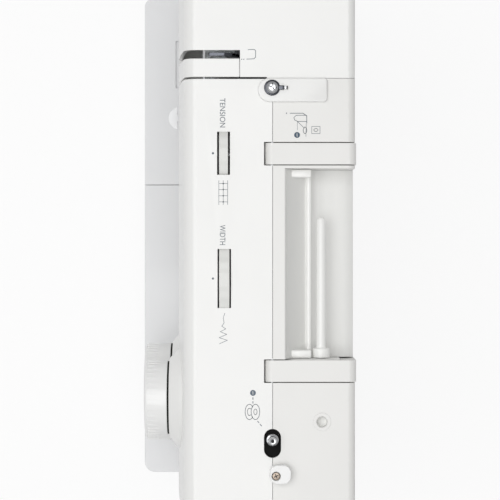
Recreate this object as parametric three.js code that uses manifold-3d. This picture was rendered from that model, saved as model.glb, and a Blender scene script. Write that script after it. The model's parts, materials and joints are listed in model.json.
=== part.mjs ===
// Domestic sewing machine: casing, frame, drive, needle and bobbin works, controls and carry handle.
// Millimetres. X runs from the needle end (-) to the handwheel end (+), Y from the operator (-) to the
// rear (+), Z up from the table. The origin is the middle of the outline on the table.
import * as THREE from 'three';
import { mergeVertices } from 'three/addons/utils/BufferGeometryUtils.js';
import Module from 'manifold-3d';

const wasm = await Module();
wasm.setup();

// ---------------------------------------------------------------- driving dimensions
const LENGTH = 400;             // needle end to the outer face of the handwheel
const DEPTH = 154;              // front of the bed to the rear of the folded handle
const TOP_Z = 290;              // flat top of the arm
const ARM_UNDER_Z = 190;        // underside of the arm
const HEAD_UNDER_Z = 168;       // underside of the head
const BED_Z = 78;               // sewing surface
const COLUMN_X = 10;            // throat side of the column
const WALL = 2.5;               // casing wall
const GAP = 0.3;                // air between neighbouring solids
const HEAD_SEAM_X = -122;       // joint between the head cover and the arm covers
const COVER_SEAM_Y = 20;        // joint between the front and rear covers
const TABLE_SEAM_X = -55.6;     // joint between the extension table and the base
const NEEDLE_X = -149;
const SHAFT_Z = 232;            // axis of the upper shaft
const SHAFT_R = 6;
const NEEDLE_STROKE = 31;
const HANDLE_T = 10;            // thickness of the carry handle's arms
const FREE_ARM_FRONT_Y = -34;
const FREE_ARM_REAR_Y = 40;
const FREE_ARM_END_X = -180;
const FREE_ARM_T = 40;           // sewing surface to the underside of the free arm
const FOOT_H = 5;               // rubber foot below the base plate

// ---------------------------------------------------------------- sizes that follow
const LEFT_X = -LENGTH / 2;
const FREE_ARM_UNDER_Z = BED_Z - FREE_ARM_T;
const WHEEL_END_X = LENGTH / 2;
const BED_FRONT_Y = -DEPTH / 2;
const HANDLE_REAR_Y = DEPTH / 2;
const REAR_Y = HANDLE_REAR_Y - 0.8;
const WHEEL_W = 22.4;
const BODY_END_X = WHEEL_END_X - WHEEL_W - GAP * 2;
const BASE_END_X = BODY_END_X - 10;
const COVER_FOOT_Z = BED_Z + GAP;
const FRONT_Y = BED_FRONT_Y + 31;       // foot of the arm's front face
const INNER_TOP_Z = TOP_Z - WALL;
const HALF_GAP = GAP / 2;

// ---------------------------------------------------------------- finishes
const FINISH = {
  white: { color: 0xf7f7f4, roughness: 0.35, metalness: 0 },
  warm: { color: 0xe8e7e4, roughness: 0.4, metalness: 0 },
  cool: { color: 0xdedfe4, roughness: 0.4, metalness: 0 },
  black: { color: 0x1a1a1c, roughness: 0.5, metalness: 0 },
  rubber: { color: 0x2a2a2c, roughness: 0.85, metalness: 0 },
  chrome: { color: 0xd6d8da, roughness: 0.12, metalness: 1 },
  steel: { color: 0xaeb1b5, roughness: 0.35, metalness: 1 },
  cast: { color: 0x8f9296, roughness: 0.6, metalness: 0.8 },
  clear: { color: 0xe6edf2, roughness: 0.1, metalness: 0 },
};

// ---------------------------------------------------------------- shape helpers
function solid(geometry) {
  const plain = new THREE.BufferGeometry();
  const source = geometry.index ? geometry.toNonIndexed() : geometry;
  plain.setAttribute('position', source.getAttribute('position').clone());
  const merged = mergeVertices(plain, 1e-4);
  const vertProperties = Float32Array.from(merged.getAttribute('position').array);
  const triVerts = Uint32Array.from(merged.index.array);
  const made = new wasm.Manifold(new wasm.Mesh({ numProp: 3, vertProperties, triVerts }));
  if (made.volume() > 0) return made;
  triVerts.reverse();
  return new wasm.Manifold(new wasm.Mesh({ numProp: 3, vertProperties, triVerts }));
}

function geometryOf(manifold) {
  const mesh = manifold.getMesh();
  const geometry = new THREE.BufferGeometry();
  geometry.setAttribute('position', new THREE.BufferAttribute(Float32Array.from(mesh.vertProperties), 3));
  geometry.setIndex(new THREE.BufferAttribute(Uint32Array.from(mesh.triVerts), 1));
  return geometry;
}

function box(x0, x1, y0, y1, z0, z1) {
  const geometry = new THREE.BoxGeometry(x1 - x0, y1 - y0, z1 - z0);
  return solid(geometry.translate((x0 + x1) / 2, (y0 + y1) / 2, (z0 + z1) / 2));
}

// A turned solid: points are [radius, height along the axis], first and last on the axis.
function turned(axis, points, centre, segments = 24) {
  const profile = points.map(([r, h]) => new THREE.Vector2(r, h));
  const geometry = new THREE.LatheGeometry(profile, segments);
  if (axis === 'x') geometry.rotateZ(-Math.PI / 2);
  if (axis === 'z') geometry.rotateX(Math.PI / 2);
  return solid(geometry.translate(...centre));
}

function rod(axis, r, from, to, across, segments = 20) {
  const points = [[0, from], [r, from], [r, to], [0, to]];
  const [a, b] = across;
  const centre = { x: [0, a, b], y: [a, 0, b], z: [a, b, 0] }[axis];
  return turned(axis, points, centre, segments);
}

// A ring: the section [radius, height] closes on itself away from the axis.
function ring(axis, r0, r1, from, to, across, segments = 24) {
  const outer = rod(axis, r1, from, to, across, segments);
  return outer.subtract(rod(axis, r0, from - 1, to + 1, across, segments));
}

// An outline of [first, second] points, pushed along the remaining axis.
function slab(axis, outline, from, to) {
  const shape = outline instanceof THREE.Shape
    ? outline : new THREE.Shape(outline.map(([a, b]) => new THREE.Vector2(a, b)));
  const geometry = new THREE.ExtrudeGeometry(shape,
    { depth: to - from, bevelEnabled: false, curveSegments: 6 });
  const turn = new THREE.Matrix4();
  if (axis === 'x') turn.set(0, 0, 1, from, 1, 0, 0, 0, 0, 1, 0, 0, 0, 0, 0, 1);
  if (axis === 'y') turn.set(1, 0, 0, 0, 0, 0, -1, to, 0, 1, 0, 0, 0, 0, 0, 1);
  if (axis === 'z') turn.makeTranslation(0, 0, from);
  return solid(geometry.applyMatrix4(turn));
}

function roundedRect(a0, a1, b0, b1, r) {
  const shape = new THREE.Shape();
  shape.moveTo(a0 + r, b0);
  shape.lineTo(a1 - r, b0);
  shape.absarc(a1 - r, b0 + r, r, -Math.PI / 2, 0);
  shape.lineTo(a1, b1 - r);
  shape.absarc(a1 - r, b1 - r, r, 0, Math.PI / 2);
  shape.lineTo(a0 + r, b1);
  shape.absarc(a0 + r, b1 - r, r, Math.PI / 2, Math.PI);
  shape.lineTo(a0, b0 + r);
  shape.absarc(a0 + r, b0 + r, r, Math.PI, Math.PI * 1.5);
  return shape;
}

function cut(body, ...tools) {
  return tools.reduce((left, tool) => left.subtract(tool), body);
}

function join(...bodies) {
  return bodies.reduce((sum, next) => sum.add(next));
}

const machine = new THREE.Group();

function add(name, finish, manifold) {
  const mesh = new THREE.Mesh(geometryOf(manifold), new THREE.MeshStandardMaterial(FINISH[finish]));
  mesh.name = name;
  machine.add(mesh);
}

// ---------------------------------------------------------------- places of the controls
const TENSION = { x: -71, y: -13.4, slotLength: 29.3, slotWidth: 8.8, r: 28, width: 6.2, proud: 3.5 };
const WIDTH = { x: 14.2, y: -12.9, slotLength: 40.1, slotWidth: 9.2, r: 42.4, width: 7.2, proud: 4.5 };
const LENGTH_DIAL = { x: 99, z: 230, r: 26.4, depth: 16.6 };
const PATTERN_DIAL = { x: 99, z: 160, r: 36, depth: 20 };
const DIAL_BACK_Y = FRONT_Y - 6;        // front of the round bosses behind the dials
const STEM_R = 4;
const LEVER = { x: -99.2, y: -45.3, z: 215, r: 8.3, pivotY: -25 };
const TAKE_UP = { x: -138.5, slotLeft: -141.2, slotRight: -135.8, slotRear: -2.2, y: 2, z: 262 };
const INSERT = { right: -122.9, front: -40 };
const WINDER = { y: 19.9, left: 116.5, right: 136.2, halfWidth: 5.8, spindleX: 124 };
const STOPPER = { x0: 140.3, x1: 153.2, y0: 18, y1: 32.5, screwX: 147.8, screwY: 22.3 };
const PIN_HOLE = { x: 111.7, y: 53.6, r: 3.75 };
const HANDLE = { x0: -78, x1: 84.5, armW: 14.6, pivotY: 19.8, gripH: 20, gripT: 14, gripZ: 205 };
const HANDLE_AIR = 0.7;
const PIVOT_Z = TOP_Z - HANDLE_T / 2;
const RECESS = { x0: -60.8, x1: 69.2, frontY: 28.4, floorZ: 256 };
const SPOOL_PIN = { y: 53.5, z: 272, r: 3.2, tipX: -28, collarR: 6, collarW: 7 };
const PULLEY_X = 62;            // toothed belt from the upper to the lower shaft
const DRIVE_X = 150;            // belt from the motor
const LOWER_SHAFT = { y: -22, z: BED_Z - 32, r: 4 };
const MOTOR = { x0: 88, x1: 142, y: 20, z: 60, r: 27 };
const SHAFT_HOLE_R = 12;
const PRESSER_Y = 12;
const HOOK = { x: NEEDLE_X, y: -16, r: 14.4 };

// ---------------------------------------------------------------- casing
// The whole casing drawn as one block, every face moved in by inset.
function armBlock(inset) {
  const top = TOP_Z - inset;
  const under = ARM_UNDER_Z + inset;
  const front = FRONT_Y + inset;
  const rear = REAR_Y - inset;
  const outline = new THREE.Shape();
  outline.moveTo(front, under);
  outline.lineTo(rear, under);
  outline.lineTo(rear, top - 5);
  outline.absarc(rear - 5, top - 5, 5, 0, Math.PI / 2);
  outline.lineTo(front + 15, top);
  outline.quadraticCurveTo(front + 6, top, front + 5, top - 11);
  outline.quadraticCurveTo(front + 1.5, top - 45, front, top - 70);
  return slab('x', outline, LEFT_X + inset, BODY_END_X - inset);
}

function columnBlock(inset, footZ) {
  const outline = [[FRONT_Y + inset, footZ], [REAR_Y - inset, footZ],
    [REAR_Y - inset, ARM_UNDER_Z + 20], [FRONT_Y + inset, ARM_UNDER_Z + 20]];
  return slab('x', outline, COLUMN_X + inset, BODY_END_X - inset);
}

function headBlock(inset) {
  return box(LEFT_X + inset, HEAD_SEAM_X - inset, FRONT_Y + inset, REAR_Y - inset,
    HEAD_UNDER_Z + inset, ARM_UNDER_Z + 20);
}

function planBlock(inset) {
  const corner = 12 - inset;
  const outline = roundedRect(LEFT_X + inset, BODY_END_X - inset, FRONT_Y + inset, REAR_Y - inset, corner);
  return slab('z', outline, 0, TOP_Z + 10);
}

// The spool recess, open to the rear: a slope down from the front, then a flat floor.
function spoolRecess(grow) {
  const { x0, x1, frontY, floorZ } = RECESS;
  const outline = [[frontY - grow, TOP_Z + 1], [frontY - grow, TOP_Z - 4], [frontY + 14 - grow, floorZ + 4],
    [frontY + 22 - grow, floorZ - grow], [REAR_Y + 5, floorZ - 3 - grow], [REAR_Y + 5, TOP_Z + 1]];
  return slab('x', outline, x0 - grow, x1 + grow);
}

// The channels that take the folded handle: two along the top, two down the rear, one for the grip.
function handleChannel(grow) {
  const air = HANDLE_AIR + grow;
  const floor = PIVOT_Z - HANDLE_T / 2 - air;
  const gripFront = HANDLE_REAR_Y - HANDLE.gripT - air;
  const out = HANDLE_REAR_Y + 5;
  const arms = [HANDLE.x0, HANDLE.x1 - HANDLE.armW].map((x) => {
    const left = x - air;
    const right = x + HANDLE.armW + air;
    const along = box(left, right, HANDLE.pivotY - HANDLE_T / 2 - air, out, floor, TOP_Z + 1);
    const down = box(left, right, HANDLE_REAR_Y - HANDLE_T - air, out, HANDLE.gripZ, TOP_Z + 1);
    return along.add(down);
  });
  const grip = box(HANDLE.x0 - air, HANDLE.x1 + air, gripFront, out,
    HANDLE.gripZ - air, HANDLE.gripZ + HANDLE.gripH + air);
  return join(...arms, grip);
}

function handlePinHoles() {
  const holes = [HANDLE.x0, HANDLE.x1 - HANDLE.armW].map(
    (x) => rod('x', 2 + GAP, x - 2.5, x + HANDLE.armW + 2.5, [HANDLE.pivotY, PIVOT_Z], 12));
  return join(...holes);
}

function casingShell() {
  const outer = join(armBlock(0), columnBlock(0, COVER_FOOT_Z), headBlock(0)).intersect(planBlock(0));
  const hollow = join(armBlock(WALL), columnBlock(WALL, 0), headBlock(WALL)).intersect(planBlock(WALL));
  const hidden = hollow.subtract(spoolRecess(WALL)).subtract(handleChannel(WALL));
  return cut(outer, spoolRecess(0), handleChannel(0), hidden, handlePinHoles());
}

function dialBoss(dial) {
  const points = [[0, DIAL_BACK_Y], [dial.r + 1.5, DIAL_BACK_Y], [dial.r + 9, FRONT_Y + 0.5],
    [dial.r + 14, FRONT_Y + 11], [0, FRONT_Y + 11]];
  return turned('y', points, [dial.x, 0, dial.z], 40).subtract(join(armBlock(WALL), columnBlock(WALL, 0)));
}

// The slot for a thumbwheel widens towards the inside with the wheel's own circle.
function topSlot(dial) {
  const y0 = dial.y - dial.slotWidth / 2;
  const y1 = dial.y + dial.slotWidth / 2;
  const mouth = box(dial.x - dial.slotLength / 2, dial.x + dial.slotLength / 2, y0, y1, INNER_TOP_Z - 1,
    TOP_Z + 1);
  return mouth.add(rod('y', dial.r + 0.5, y0, y1, [dial.x, TOP_Z + dial.proud - dial.r], 48));
}

function winderSlot() {
  const { left, right, y, halfWidth } = WINDER;
  const outline = roundedRect(left, right, y - halfWidth, y + halfWidth, halfWidth - 0.01);
  return slab('z', outline, INNER_TOP_Z - 1, TOP_Z + 1);
}

function addCasing() {
  const shell = casingShell();
  const far = 500;
  const headSide = box(-far, HEAD_SEAM_X - HALF_GAP, -far, far, 0, far);
  const frontSide = box(HEAD_SEAM_X + HALF_GAP, far, -far, COVER_SEAM_Y - HALF_GAP, 0, far);
  const rearSide = box(HEAD_SEAM_X + HALF_GAP, far, COVER_SEAM_Y + HALF_GAP, far, 0, far);
  const shaftHole = rod('x', SHAFT_HOLE_R, BODY_END_X - 10, BODY_END_X + 5, [0, SHAFT_Z]);

  const leverSlot = box(TAKE_UP.slotLeft, TAKE_UP.slotRight, -far, TAKE_UP.slotRear, 205, far);
  const insertSeat = box(TAKE_UP.slotRight - 1, far, -far, TAKE_UP.slotRear, 240, far);
  const headOpening = box(-182, -128, -30, 62, HEAD_UNDER_Z - 1, HEAD_UNDER_Z + WALL + 1);
  const threadSlot = box(HEAD_SEAM_X - 1, HEAD_SEAM_X + 0.5, -far, 16, 235, far);
  const seamSlot = box(INSERT.right, far, TAKE_UP.slotRear - GAP, 16, 235, far);
  add('face_cover', 'white', cut(shell.intersect(headSide), leverSlot, insertSeat, headOpening, seamSlot));

  const bosses = [LENGTH_DIAL, PATTERN_DIAL].map(dialBoss);
  const stems = [LENGTH_DIAL, PATTERN_DIAL].map(
    (dial) => rod('y', STEM_R + GAP, DIAL_BACK_Y - 1, FRONT_Y + 10, [dial.x, dial.z]));
  const reverseSlot = box(LEVER.x - 4, LEVER.x + 4, FRONT_Y - 5, FRONT_Y + 12, LEVER.z - 10, LEVER.z + 4);
  const front = cut(join(shell.intersect(frontSide), ...bosses), ...stems, topSlot(TENSION), topSlot(WIDTH),
    winderSlot(), reverseSlot, threadSlot, shaftHole);
  add('front_cover', 'white', front);

  const pinHole = rod('z', PIN_HOLE.r, INNER_TOP_Z - 1, TOP_Z + 1, [PIN_HOLE.x, PIN_HOLE.y], 16);
  const collarSeat = rod('x', SPOOL_PIN.r, RECESS.x1 - 1, RECESS.x1 + 1, [SPOOL_PIN.y, SPOOL_PIN.z]);
  add('rear_cover', 'warm', cut(shell.intersect(rearSide), winderSlot(), pinHole, collarSeat));
}

// The white insert between the two thread channels, wrapped over the head's front edge.
function addThreadInsert() {
  const strip = box(TAKE_UP.slotRight + GAP, INSERT.right, FRONT_Y - 5, TAKE_UP.slotRear - GAP, 240 + GAP,
    TOP_Z + 5);
  add('thread_channel_insert', 'white', strip.intersect(armBlock(0)).subtract(armBlock(WALL)));
}

// ---------------------------------------------------------------- base, free arm and extension table
const PLATE_Z = FOOT_H + GAP;           // underside of the base plate
const PLATE_T = 4;
const BASE_FOOT_Z = PLATE_Z + PLATE_T + GAP;
const INLET = { y: 30, z: 34, w: 30, h: 24, deep: 14 };
const SWITCH = { y: -12, z: 34, w: 20, h: 26, deep: 10 };
const FEET = { front_left: [-35, -60], front_right: [148, -60], rear_left: [-35, 60], rear_right: [148, 60] };

function baseBlock(inset, footZ) {
  const outline = roundedRect(TABLE_SEAM_X + inset, BASE_END_X - inset, BED_FRONT_Y + inset, REAR_Y - inset,
    8 - inset);
  return slab('z', outline, footZ, BED_Z - inset);
}

function addBase() {
  const square = box(TABLE_SEAM_X, TABLE_SEAM_X + 20, BED_FRONT_Y, REAR_Y, BASE_FOOT_Z, BED_Z);
  const squareHollow = box(TABLE_SEAM_X + WALL, TABLE_SEAM_X + 21, BED_FRONT_Y + WALL, REAR_Y - WALL,
    BASE_FOOT_Z - 1, BED_Z - WALL);
  const shell = cut(baseBlock(0, BASE_FOOT_Z).add(square), baseBlock(WALL, BASE_FOOT_Z - 1), squareHollow);
  const columnMouth = box(COLUMN_X + 6, BODY_END_X - 16, FRONT_Y + 8, REAR_Y - 10, BED_Z - 5, BED_Z + 1);
  const armMouth = box(TABLE_SEAM_X - 1, TABLE_SEAM_X + WALL + 1, FREE_ARM_FRONT_Y + WALL,
    FREE_ARM_REAR_Y - WALL, FREE_ARM_UNDER_Z + WALL, BED_Z - WALL);
  const inletMouth = box(BASE_END_X - 5, BASE_END_X + 1, INLET.y - INLET.w / 2, INLET.y + INLET.w / 2,
    INLET.z - INLET.h / 2, INLET.z + INLET.h / 2);
  const switchMouth = box(BASE_END_X - 5, BASE_END_X + 1, SWITCH.y - SWITCH.w / 2, SWITCH.y + SWITCH.w / 2,
    SWITCH.z - SWITCH.h / 2, SWITCH.z + SWITCH.h / 2);
  add('base_cover', 'cool', cut(shell, columnMouth, armMouth, inletMouth, switchMouth));

  const plate = roundedRect(TABLE_SEAM_X, BASE_END_X, BED_FRONT_Y, REAR_Y, 7);
  add('base_plate', 'cool', slab('z', plate, PLATE_Z, PLATE_Z + PLATE_T));
  for (const [place, [x, y]] of Object.entries(FEET)) {
    add(`rubber_foot_${place}`, 'rubber', turned('z', [[0, 0], [8, 0], [9.5, FOOT_H], [0, FOOT_H]],
      [x, y, 0], 16));
  }
}

function addPower() {
  const face = BASE_END_X - 0.5;
  const half = [INLET.w / 2 - GAP, INLET.h / 2 - GAP];
  const shell = box(face - INLET.deep, face, INLET.y - half[0], INLET.y + half[0],
    INLET.z - half[1], INLET.z + half[1]);
  const socket = box(face - INLET.deep + 2, face + 1, INLET.y - half[0] + 2.5, INLET.y + half[0] - 2.5,
    INLET.z - half[1] + 2.5, INLET.z + half[1] - 2.5);
  const pins = [-6, 6].map((dy) => rod('x', 1.2, face - INLET.deep + 1, face - 3, [INLET.y + dy, INLET.z],
    10));
  add('power_inlet', 'black', join(shell.subtract(socket), ...pins));

  const halfH = SWITCH.h / 2 - 1.2;
  const rock = [[face - 5, SWITCH.z - halfH], [face + 2, SWITCH.z - halfH], [face - 0.5, SWITCH.z],
    [face + 2, SWITCH.z + halfH], [face - 5, SWITCH.z + halfH]];
  add('power_switch', 'black', slab('y', rock, SWITCH.y - SWITCH.w / 2 + GAP, SWITCH.y + SWITCH.w / 2 - GAP));
}

function addFreeArm() {
  const end = TABLE_SEAM_X - GAP;
  const outline = (inset) => roundedRect(FREE_ARM_END_X + inset, end + 20, FREE_ARM_FRONT_Y + inset,
    FREE_ARM_REAR_Y - inset, 14 - inset);
  const outer = slab('z', outline(0), FREE_ARM_UNDER_Z, BED_Z);
  const hollow = slab('z', outline(WALL), FREE_ARM_UNDER_Z + WALL, BED_Z - WALL);
  const beyond = box(end, end + 50, -200, 200, 0, 200);
  add('free_arm_cover', 'cool', cut(outer, hollow, beyond, platePocket(GAP), lidTrack(FREE_ARM_FRONT_Y - 1)));
}

// The needle plate lies in the top of the free arm, flush with the bed.
const NEEDLE_PLATE = { x0: -176, x1: -100, y0: -30, y1: 34, t: 2 };
const BOBBIN_LID = { x0: -167, x1: -131, y0: -30, y1: -5 };

function platePocket(air) {
  const { x0, x1, y0, y1 } = NEEDLE_PLATE;
  return box(x0 - air, x1 + air, y0 - air, y1 + air, BED_Z - WALL - 1, BED_Z + 1);
}

// The shallow track in which the bobbin cover slides towards the operator.
function lidTrack(frontY) {
  const { x0, x1 } = BOBBIN_LID;
  return box(x0 - GAP, x1 + GAP, frontY, NEEDLE_PLATE.y0 + 1, BED_Z - NEEDLE_PLATE.t - GAP / 3, BED_Z + 5);
}

function addNeedlePlate() {
  const { x0, x1, y0, y1, t } = NEEDLE_PLATE;
  const plate = slab('z', roundedRect(x0, x1, y0, y1, 3), BED_Z - t, BED_Z);
  const lidMouth = box(BOBBIN_LID.x0, BOBBIN_LID.x1, y0 - 1, BOBBIN_LID.y1, BED_Z - t - 1, BED_Z + 1);
  const needleSlot = slab('z', roundedRect(NEEDLE_X - 4.5, NEEDLE_X + 4.5, -1.5, 1.5, 1.4), BED_Z - t - 1,
    BED_Z + 1);
  const dogSlots = [-4.5, 4.5].map((dx) => box(NEEDLE_X + dx - 1.6, NEEDLE_X + dx + 1.6, 3, 20, BED_Z - 5,
    BED_Z + 1));
  const frontDogSlot = box(NEEDLE_X - 8.6, NEEDLE_X - 5.8, -4, 14, BED_Z - 5, BED_Z + 1);
  add('needle_plate', 'steel', cut(plate, lidMouth, needleSlot, ...dogSlots, frontDogSlot));
  const lid = slab('z', roundedRect(BOBBIN_LID.x0 + GAP, BOBBIN_LID.x1 - GAP, BOBBIN_LID.y0,
    BOBBIN_LID.y1 - GAP, 2),
    BED_Z - t + 0.2, BED_Z + 0.3);
  add('bobbin_cover', 'clear', lid);
}

// Extension table: wraps the front, the end and the rear of the free arm, and holds the accessory box.
const LID = { x0: -176, x1: -66, z0: 12, z1: BED_Z - 12, t: 2.2 };

function addExtensionTable() {
  const right = TABLE_SEAM_X - GAP;
  const outline = roundedRect(LEFT_X, right + 20, BED_FRONT_Y, REAR_Y, 6);
  const block = slab('z', outline, 1, BED_Z - 0.2).subtract(box(right, right + 50, -200, 200, 0, 200));
  const armBay = slab('z', roundedRect(FREE_ARM_END_X - GAP, right + 40, FREE_ARM_FRONT_Y - GAP,
    FREE_ARM_REAR_Y + GAP, 14.3), -1, BED_Z + 5);
  const boxHollow = box(LID.x0 + 2, LID.x1 - 2, BED_FRONT_Y - 1, FREE_ARM_FRONT_Y - 3, LID.z0 + 2,
    LID.z1 - 2);
  const lidSeat = box(LID.x0 - GAP, LID.x1 + GAP, BED_FRONT_Y - 1, BED_FRONT_Y + LID.t + GAP,
    LID.z0 - 2 * GAP, LID.z1 + GAP);
  const hingeSeat = rod('x', 2.4, LID.x0 - GAP, LID.x1 + GAP, [BED_FRONT_Y + 2.1, LID.z0 + 2], 12);
  const rearHollow = box(LEFT_X + 25, right - WALL, FREE_ARM_REAR_Y + 3, REAR_Y - WALL, 0, BED_Z - 3);
  add('extension_table', 'cool', cut(block, armBay, lidTrack(FREE_ARM_FRONT_Y - 19), boxHollow, lidSeat,
    hingeSeat, rearHollow));
  const panel = box(LID.x0, LID.x1, BED_FRONT_Y, BED_FRONT_Y + LID.t, LID.z0 + 2, LID.z1);
  const knuckle = rod('x', 2, LID.x0, LID.x1, [BED_FRONT_Y + 2.1, LID.z0 + 2], 12);
  add('accessory_lid', 'cool', panel.add(knuckle).intersect(box(-500, 500, BED_FRONT_Y, 0, 0, 200)));
}

// ---------------------------------------------------------------- frame and drive
const PLATE_Y = [22, 28];

function lug(x, halfX, y0, z0, z1) {
  return box(x - halfX, x + halfX, y0, PLATE_Y[0] + 2, z0, z1);
}

function addFrame() {
  const [y0, y1] = PLATE_Y;
  const arm = box(-165, 147, y0, y1, 200, 222);
  const column = box(28, 56, y0, y1, 12, 222);
  const bed = box(-172, 56, y0, y1, BED_Z - 30, BED_Z - 12);
  const flange = box(20, 80, -20, y1, BASE_FOOT_Z + GAP, 16);
  const head = box(-165, -128, y0, y1, 176, 222);
  const shaftLugs = [-121, 20, 142].map((x) => lug(x, 4.4, -9, 205, 242));
  const takeUpLug = lug(-121, 4.4, -4, 205, 268);
  const takeUpPin = rod('x', 2.5, -141, -120, [TAKE_UP.y, TAKE_UP.z], 12);
  const barLugs = [[174, 184], [252, 258]].map(([z0, z1]) => lug(NEEDLE_X, 8, -6, z0, z1));
  const barPost = box(NEEDLE_X - 8, NEEDLE_X + 8, y0, y1, 200, 258);
  const lowLugs = [-108, 20].map((x) => lug(x, 4.4, LOWER_SHAFT.y - 8, LOWER_SHAFT.z + 2,
    LOWER_SHAFT.z + 12));
  const lowDrops = [-108, 20].map((x) => box(x - 4.4, x + 4.4, LOWER_SHAFT.y - 8, LOWER_SHAFT.y + 8,
    LOWER_SHAFT.z - (x < 0 ? 3.2 : 8), LOWER_SHAFT.z + 4));
  const dialLugs = [[TENSION, TOP_Z + TENSION.proud - TENSION.r], [WIDTH, TOP_Z + WIDTH.proud - WIDTH.r]].map(
    ([dial, z]) => lug(dial.x, 5, 8.5, 215, z + 6));
  const reverseLug = box(-93.7, -88, LEVER.pivotY - 5, y0 + 2, LEVER.z - 5, LEVER.z + 5);
  const holes = [
    rod('x', SHAFT_R + GAP, -130, 150, [0, SHAFT_Z]),
    rod('z', 3.8, 170, 262, [NEEDLE_X, 0], 16),
    rod('z', 3.3, 170, 262, [NEEDLE_X, PRESSER_Y], 16),
    rod('x', LOWER_SHAFT.r + GAP, -120, 30, [LOWER_SHAFT.y, LOWER_SHAFT.z], 16),
    rod('x', 18.5, PULLEY_X - 1, PULLEY_X + 9, [LOWER_SHAFT.y, LOWER_SHAFT.z]),
    rod('y', 3.3, 0, 23, [TENSION.x, TOP_Z + TENSION.proud - TENSION.r], 14),
    rod('y', 3.3, 0, 23, [WIDTH.x, TOP_Z + WIDTH.proud - WIDTH.r], 14),
    rod('x', 2.3, -95, -87, [LEVER.pivotY, LEVER.z], 12),
  ];
  add('frame_casting', 'cast', cut(join(arm, column, bed, flange, head, ...shaftLugs, takeUpLug, ...barLugs,
    barPost, takeUpPin, ...lowLugs, ...lowDrops, ...dialLugs, reverseLug), ...holes));
}

function addDrive() {
  add('main_shaft', 'steel', rod('x', SHAFT_R, -126 + GAP, BODY_END_X + 4, [0, SHAFT_Z], 24));
  const disc = rod('x', 18, -134, -126, [0, SHAFT_Z], 28);
  const crankPin = rod('x', 3, -136.8, -133, [0, SHAFT_Z + NEEDLE_STROKE / 2], 12);
  add('crank_disc', 'steel', disc.add(crankPin));
  add('toothed_pulley', 'white', ring('x', SHAFT_R + GAP, 16, PULLEY_X, PULLEY_X + 8, [0, SHAFT_Z], 28));
  add('drive_pulley', 'white', ring('x', SHAFT_R + GAP, 24, DRIVE_X, DRIVE_X + 7, [0, SHAFT_Z], 32));
  const hub = BODY_END_X + 2 * GAP;
  const wheel = [[0, hub + 4 + GAP], [10, hub + 4 + GAP], [10, hub], [30, hub + 2], [36, hub + 5],
    [37, hub + 12], [35, hub + 18], [28, hub + 20], [22, hub + 18.5], [12, hub + 19.5], [0, WHEEL_END_X]];
  add('handwheel', 'white', turned('x', wheel, [0, 0, SHAFT_Z], 40));
  add('motor', 'steel', rod('x', MOTOR.r, MOTOR.x0, MOTOR.x1, [MOTOR.y, MOTOR.z], 28));
  const cradle = box(100, 130, MOTOR.y - 20, MOTOR.y + 20, BASE_FOOT_Z, MOTOR.z - 8);
  add('motor_cradle', 'cast', cradle.subtract(rod('x', MOTOR.r + GAP, 90, 140, [MOTOR.y, MOTOR.z], 28)));
  const motorShaft = rod('x', 3, MOTOR.x1 + GAP, DRIVE_X + 9, [MOTOR.y, MOTOR.z], 16);
  add('motor_pulley', 'steel', motorShaft.add(rod('x', 7, DRIVE_X, DRIVE_X + 7, [MOTOR.y, MOTOR.z], 20)));
  add('drive_belt', 'rubber', beltLoop([0, SHAFT_Z, 24], [MOTOR.y, MOTOR.z, 7], DRIVE_X + 1, DRIVE_X + 6));
  add('timing_belt', 'rubber', beltLoop([0, SHAFT_Z, 16], [LOWER_SHAFT.y, LOWER_SHAFT.z, 16], PULLEY_X + 1,
    PULLEY_X + 7));
  const lower = rod('x', LOWER_SHAFT.r, -134, 74, [LOWER_SHAFT.y, LOWER_SHAFT.z], 16);
  const lowerPulley = rod('x', 16, PULLEY_X, PULLEY_X + 8, [LOWER_SHAFT.y, LOWER_SHAFT.z], 28);
  add('lower_shaft', 'steel', lower.add(lowerPulley));
}

// A belt round two pulleys [y, z, radius], as the hull of two discs less the space inside.
function beltLoop(top, low, x0, x1) {
  const loop = (grow) => {
    const along = Math.atan2(top[1] - low[1], top[0] - low[0]);
    const span = Math.hypot(top[0] - low[0], top[1] - low[1]);
    const lean = Math.acos((low[2] - top[2]) / span);
    const shape = new THREE.Shape();
    shape.absarc(low[0], low[1], low[2] + grow, along + lean, along - lean + 2 * Math.PI);
    shape.absarc(top[0], top[1], top[2] + grow, along - lean, along + lean);
    return shape;
  };
  return slab('x', loop(GAP + 1.5), x0, x1).subtract(slab('x', loop(GAP), x0 - 1, x1 + 1));
}

// ---------------------------------------------------------------- needle, presser and bobbin works
const FOOT_Z = BED_Z + GAP;             // sole of the lowered presser foot
const CLAMP_Z = BED_Z + 42;             // underside of the needle clamp, needle up

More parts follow.
